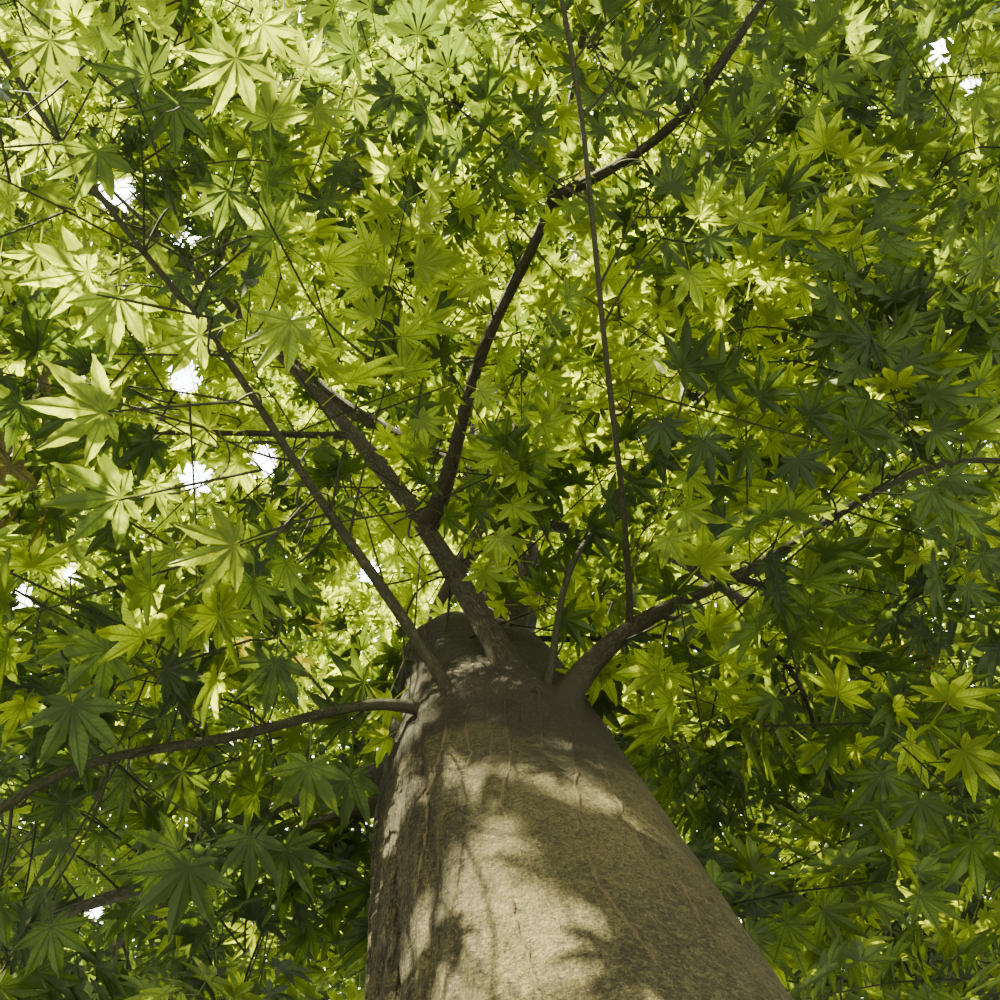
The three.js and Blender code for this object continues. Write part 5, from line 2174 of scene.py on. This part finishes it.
# %% Cast rays, and fill what they find
RAY_STEP = 1.5
RAY_LAYERS = 3.4
RAY_DEPTHS = (1.7, 5.6)
RAY_TRIES = 12


def open_spots():
    points, faces, uv = placed_blades(np.nonzero(in_picture(leaves["node"]))[0])
    leaf_skin = BVHTree.FromPolygons(points.tolist(), faces.tolist(), all_triangles=True)
    layers, skins = layers_of_leaves(), (leaf_skin, bark_skin, skin_of(bough_piece))
    places = np.arange(0.5 * RAY_STEP, FRAME, RAY_STEP)
    across, down = [grid.ravel() for grid in np.meshgrid(places, places)]
    rows, columns = (down / COVER_CELL).astype(int) + 1, (across / COVER_CELL).astype(int) + 1
    thin = (layers[rows, columns] < RAY_LAYERS) & ~in_sky_gap(across, down, 4)
    spots = []
    for place in np.column_stack([across, down])[thin]:
        heading = Vector(point_seen(*place, 1.0) - VIEW_FROM)
        if all(skin.ray_cast(VIEW_SPOT, heading)[0] is None for skin in skins):
            spots.append(place)
    print("rays cast:", int(thin.sum()), "rays that reach the sky:", len(spots))
    return np.array(spots)


def inside_any(spots, corners):
    ahead = np.roll(corners, -1, axis=1) - corners
    gone = spots[:, None, None] - corners[None]
    turned = ahead[None, ..., 0] * gone[..., 1] - ahead[None, ..., 1] * gone[..., 0]
    return ((turned > 0).all(axis=2) | (turned < 0).all(axis=2)).any(axis=1)


def fill_by_rays():
    spots = open_spots()
    rng = np.random.default_rng(14)
    blades = list(BLADES.values())
    seen = seen_at(leaves["node"])
    reach = leaves["size"] * FOCAL / seen[:, 2]
    deep = (seen[:, 2] > RAY_DEPTHS[0]) & (seen[:, 2] < RAY_DEPTHS[1])
    able = np.nonzero(deep & in_picture(leaves["node"]))[0]
    still_open = np.ones(len(spots), bool)
    for pick in rng.permutation(len(spots)):
        if not still_open[pick] or len(fillers["node"]) >= FILL_LIMIT:
            continue
        apart = np.abs(sizes(seen[able, :2] - spots[pick]) / reach[able] - 1.1)
        for number in able[np.argsort(apart + rng.uniform(0, 0.25, len(able)))[:RAY_TRIES]]:
            add_filler(rng, number, spots[pick], seen[number, 2] + rng.uniform(-0.03, 0.03))
            points, faces, uv = blades[leaf_detail[number]]
            corners = seen_at(last_filler(points))[:, :2][faces]
            if inside_any(spots[pick][None], corners)[0]:
                still_open &= ~inside_any(spots, corners)
                break
            for values in fillers.values():
                values.pop()
    print("rays still open:", int(still_open.sum()), "leaves added:", len(fillers["node"]))


fill_by_rays()
take_in_fillers()
leaf_detail = detail_of_leaves()
leaf_shades = spray_shades[leaves["spray"]]
print("leaves now:", len(leaves["node"]))

# %% [markdown]
# Join the leaves into pieces
#
# The leaves of one shade are one piece. Joining thousands of leaf objects would be slow, so only their
# arrays are joined, and one mesh is made from each.

# %% Join by shade
foliage_nodes = ["foliage_top"] + [f"foliage_{name}" for name in bough_names]


def leaf_piece(shade, name):
    points, faces, uv = placed_blades(np.nonzero(leaf_shades == shade)[0])
    mesh = mesh_from_arrays(f"leaves_{name}", points, faces)
    layer = mesh.uv_layers.new(name="lobe")
    layer.data.foreach_set("uv", uv.astype(np.float32).ravel())
    new_piece(mesh.name, mesh, LEAF_MATERIALS[name], foliage_nodes, smooth=False)
    print(mesh.name, "triangles:", len(mesh.polygons))
    return len(mesh.polygons)


leaf_triangles = sum(leaf_piece(shade, name) for shade, name in enumerate(SHADE_NAMES))
print("leaf triangles:", leaf_triangles)
print("leaves by detail:", np.bincount(leaf_detail))

# %% [markdown]
# Build the twigs
#
# The stems that carry on from the boughs' tips, the twigs and the thin shoots that the leaves stand on
# are one mesh of tubes with three or four sides, which is enough at a few millimetres across.

# %% Twig piece
SHOOT_RADIUS = 0.0013
STEM_SIDES = 8
STEM_RINGS = 26
twigs = Mesher()
for mass in MASSES:
    line = smooth_line(mass["stem"][:mass["reach"] + 1], STEM_RINGS)
    line = np.vstack([mass["line"][-2:-1], line])
    share = np.linspace(0, 1, len(line))
    twigs.add_tube(line, np.array([mass["radius_at"](value) for value in share]), STEM_SIDES)
for line, radii, sides in twig_lines:
    twigs.add_tube(line, radii, sides)
for spray in sprays:
    twigs.add_tube(spray["line"], (SHOOT_RADIUS * 1.3, SHOOT_RADIUS, SHOOT_RADIUS * 0.6), 3)
twig_mesh = twigs.mesh("twigs")
new_piece("twigs", twig_mesh, twig_bark, foliage_nodes)
print("twig triangles:", 2 * len(twig_mesh.polygons))

# %% [markdown]
# Floor
#
# The tree stands on a plain pale floor. A plane that is wide enough looks endless from any side, and
# the light that it throws back brightens the undersides of the leaves.

# %% Lay the floor
FLOOR_HALF = 60.0
FLOOR_GREY = (0.150, 0.157, 0.168)
bpy.ops.mesh.primitive_plane_add(size=2 * FLOOR_HALF, location=(0, 0, 0))
floor = bpy.context.object
floor.name = "floor"
floor_material, floor_tree = new_material("floor")
finish_surface(floor_tree, FLOOR_GREY, 0.9)
floor.data.materials.append(floor_material)
print("floor:", 2 * FLOOR_HALF, "m wide")

# %% [markdown]
# Light
#
# A sun from the upper left, behind the viewer, passes under the crown, dapples the trunk and lights the
# leaves through. It is a little larger than the real one, so its dapples have soft edges. The sky is
# bright overhead and dark at the horizon, where other growth would stand.

# %% Sun and sky
SUN_STRENGTH = 72.0
SUN_SOFT = 0.62
SUN_COLOUR = (1.0, 0.93, 0.54)
SKY_HIGH = (0.94, 0.98, 1.0)
SKY_LOW = (0.034, 0.036, 0.038)
SKY_STRENGTH = 16.5

sun_data = bpy.data.lights.new("sun", "SUN")
sun_data.energy = SUN_STRENGTH
sun_data.angle = math.radians(SUN_SOFT)
sun_data.color = SUN_COLOUR
sun = bpy.data.objects.new("sun", sun_data)
sun.rotation_euler = Vector(toward_sun).to_track_quat("Z", "Y").to_euler()
bpy.context.scene.collection.objects.link(sun)

world = bpy.data.worlds.new("sky")
world.use_nodes = True
sky_tree = world.node_tree
ray = add_node(sky_tree, "TexCoord").outputs["Generated"]
height = add_node(sky_tree, "SeparateXYZ", {"Vector": ray}).outputs["Z"]
glow = ramp(sky_tree, height, (0.48, SKY_LOW), (0.80, SKY_HIGH))
sky_tree.links.new(glow, sky_tree.nodes["Background"].inputs["Color"])
sky_tree.nodes["Background"].inputs["Strength"].default_value = SKY_STRENGTH
bpy.context.scene.world = world
print("sun from", SUN_HEAD, "degrees at", SUN_RISE)

# %% [markdown]
# The last step
#
# The box of the plain model is printed.

# %% Print the box of the plain model
print("cad box", cad_box)
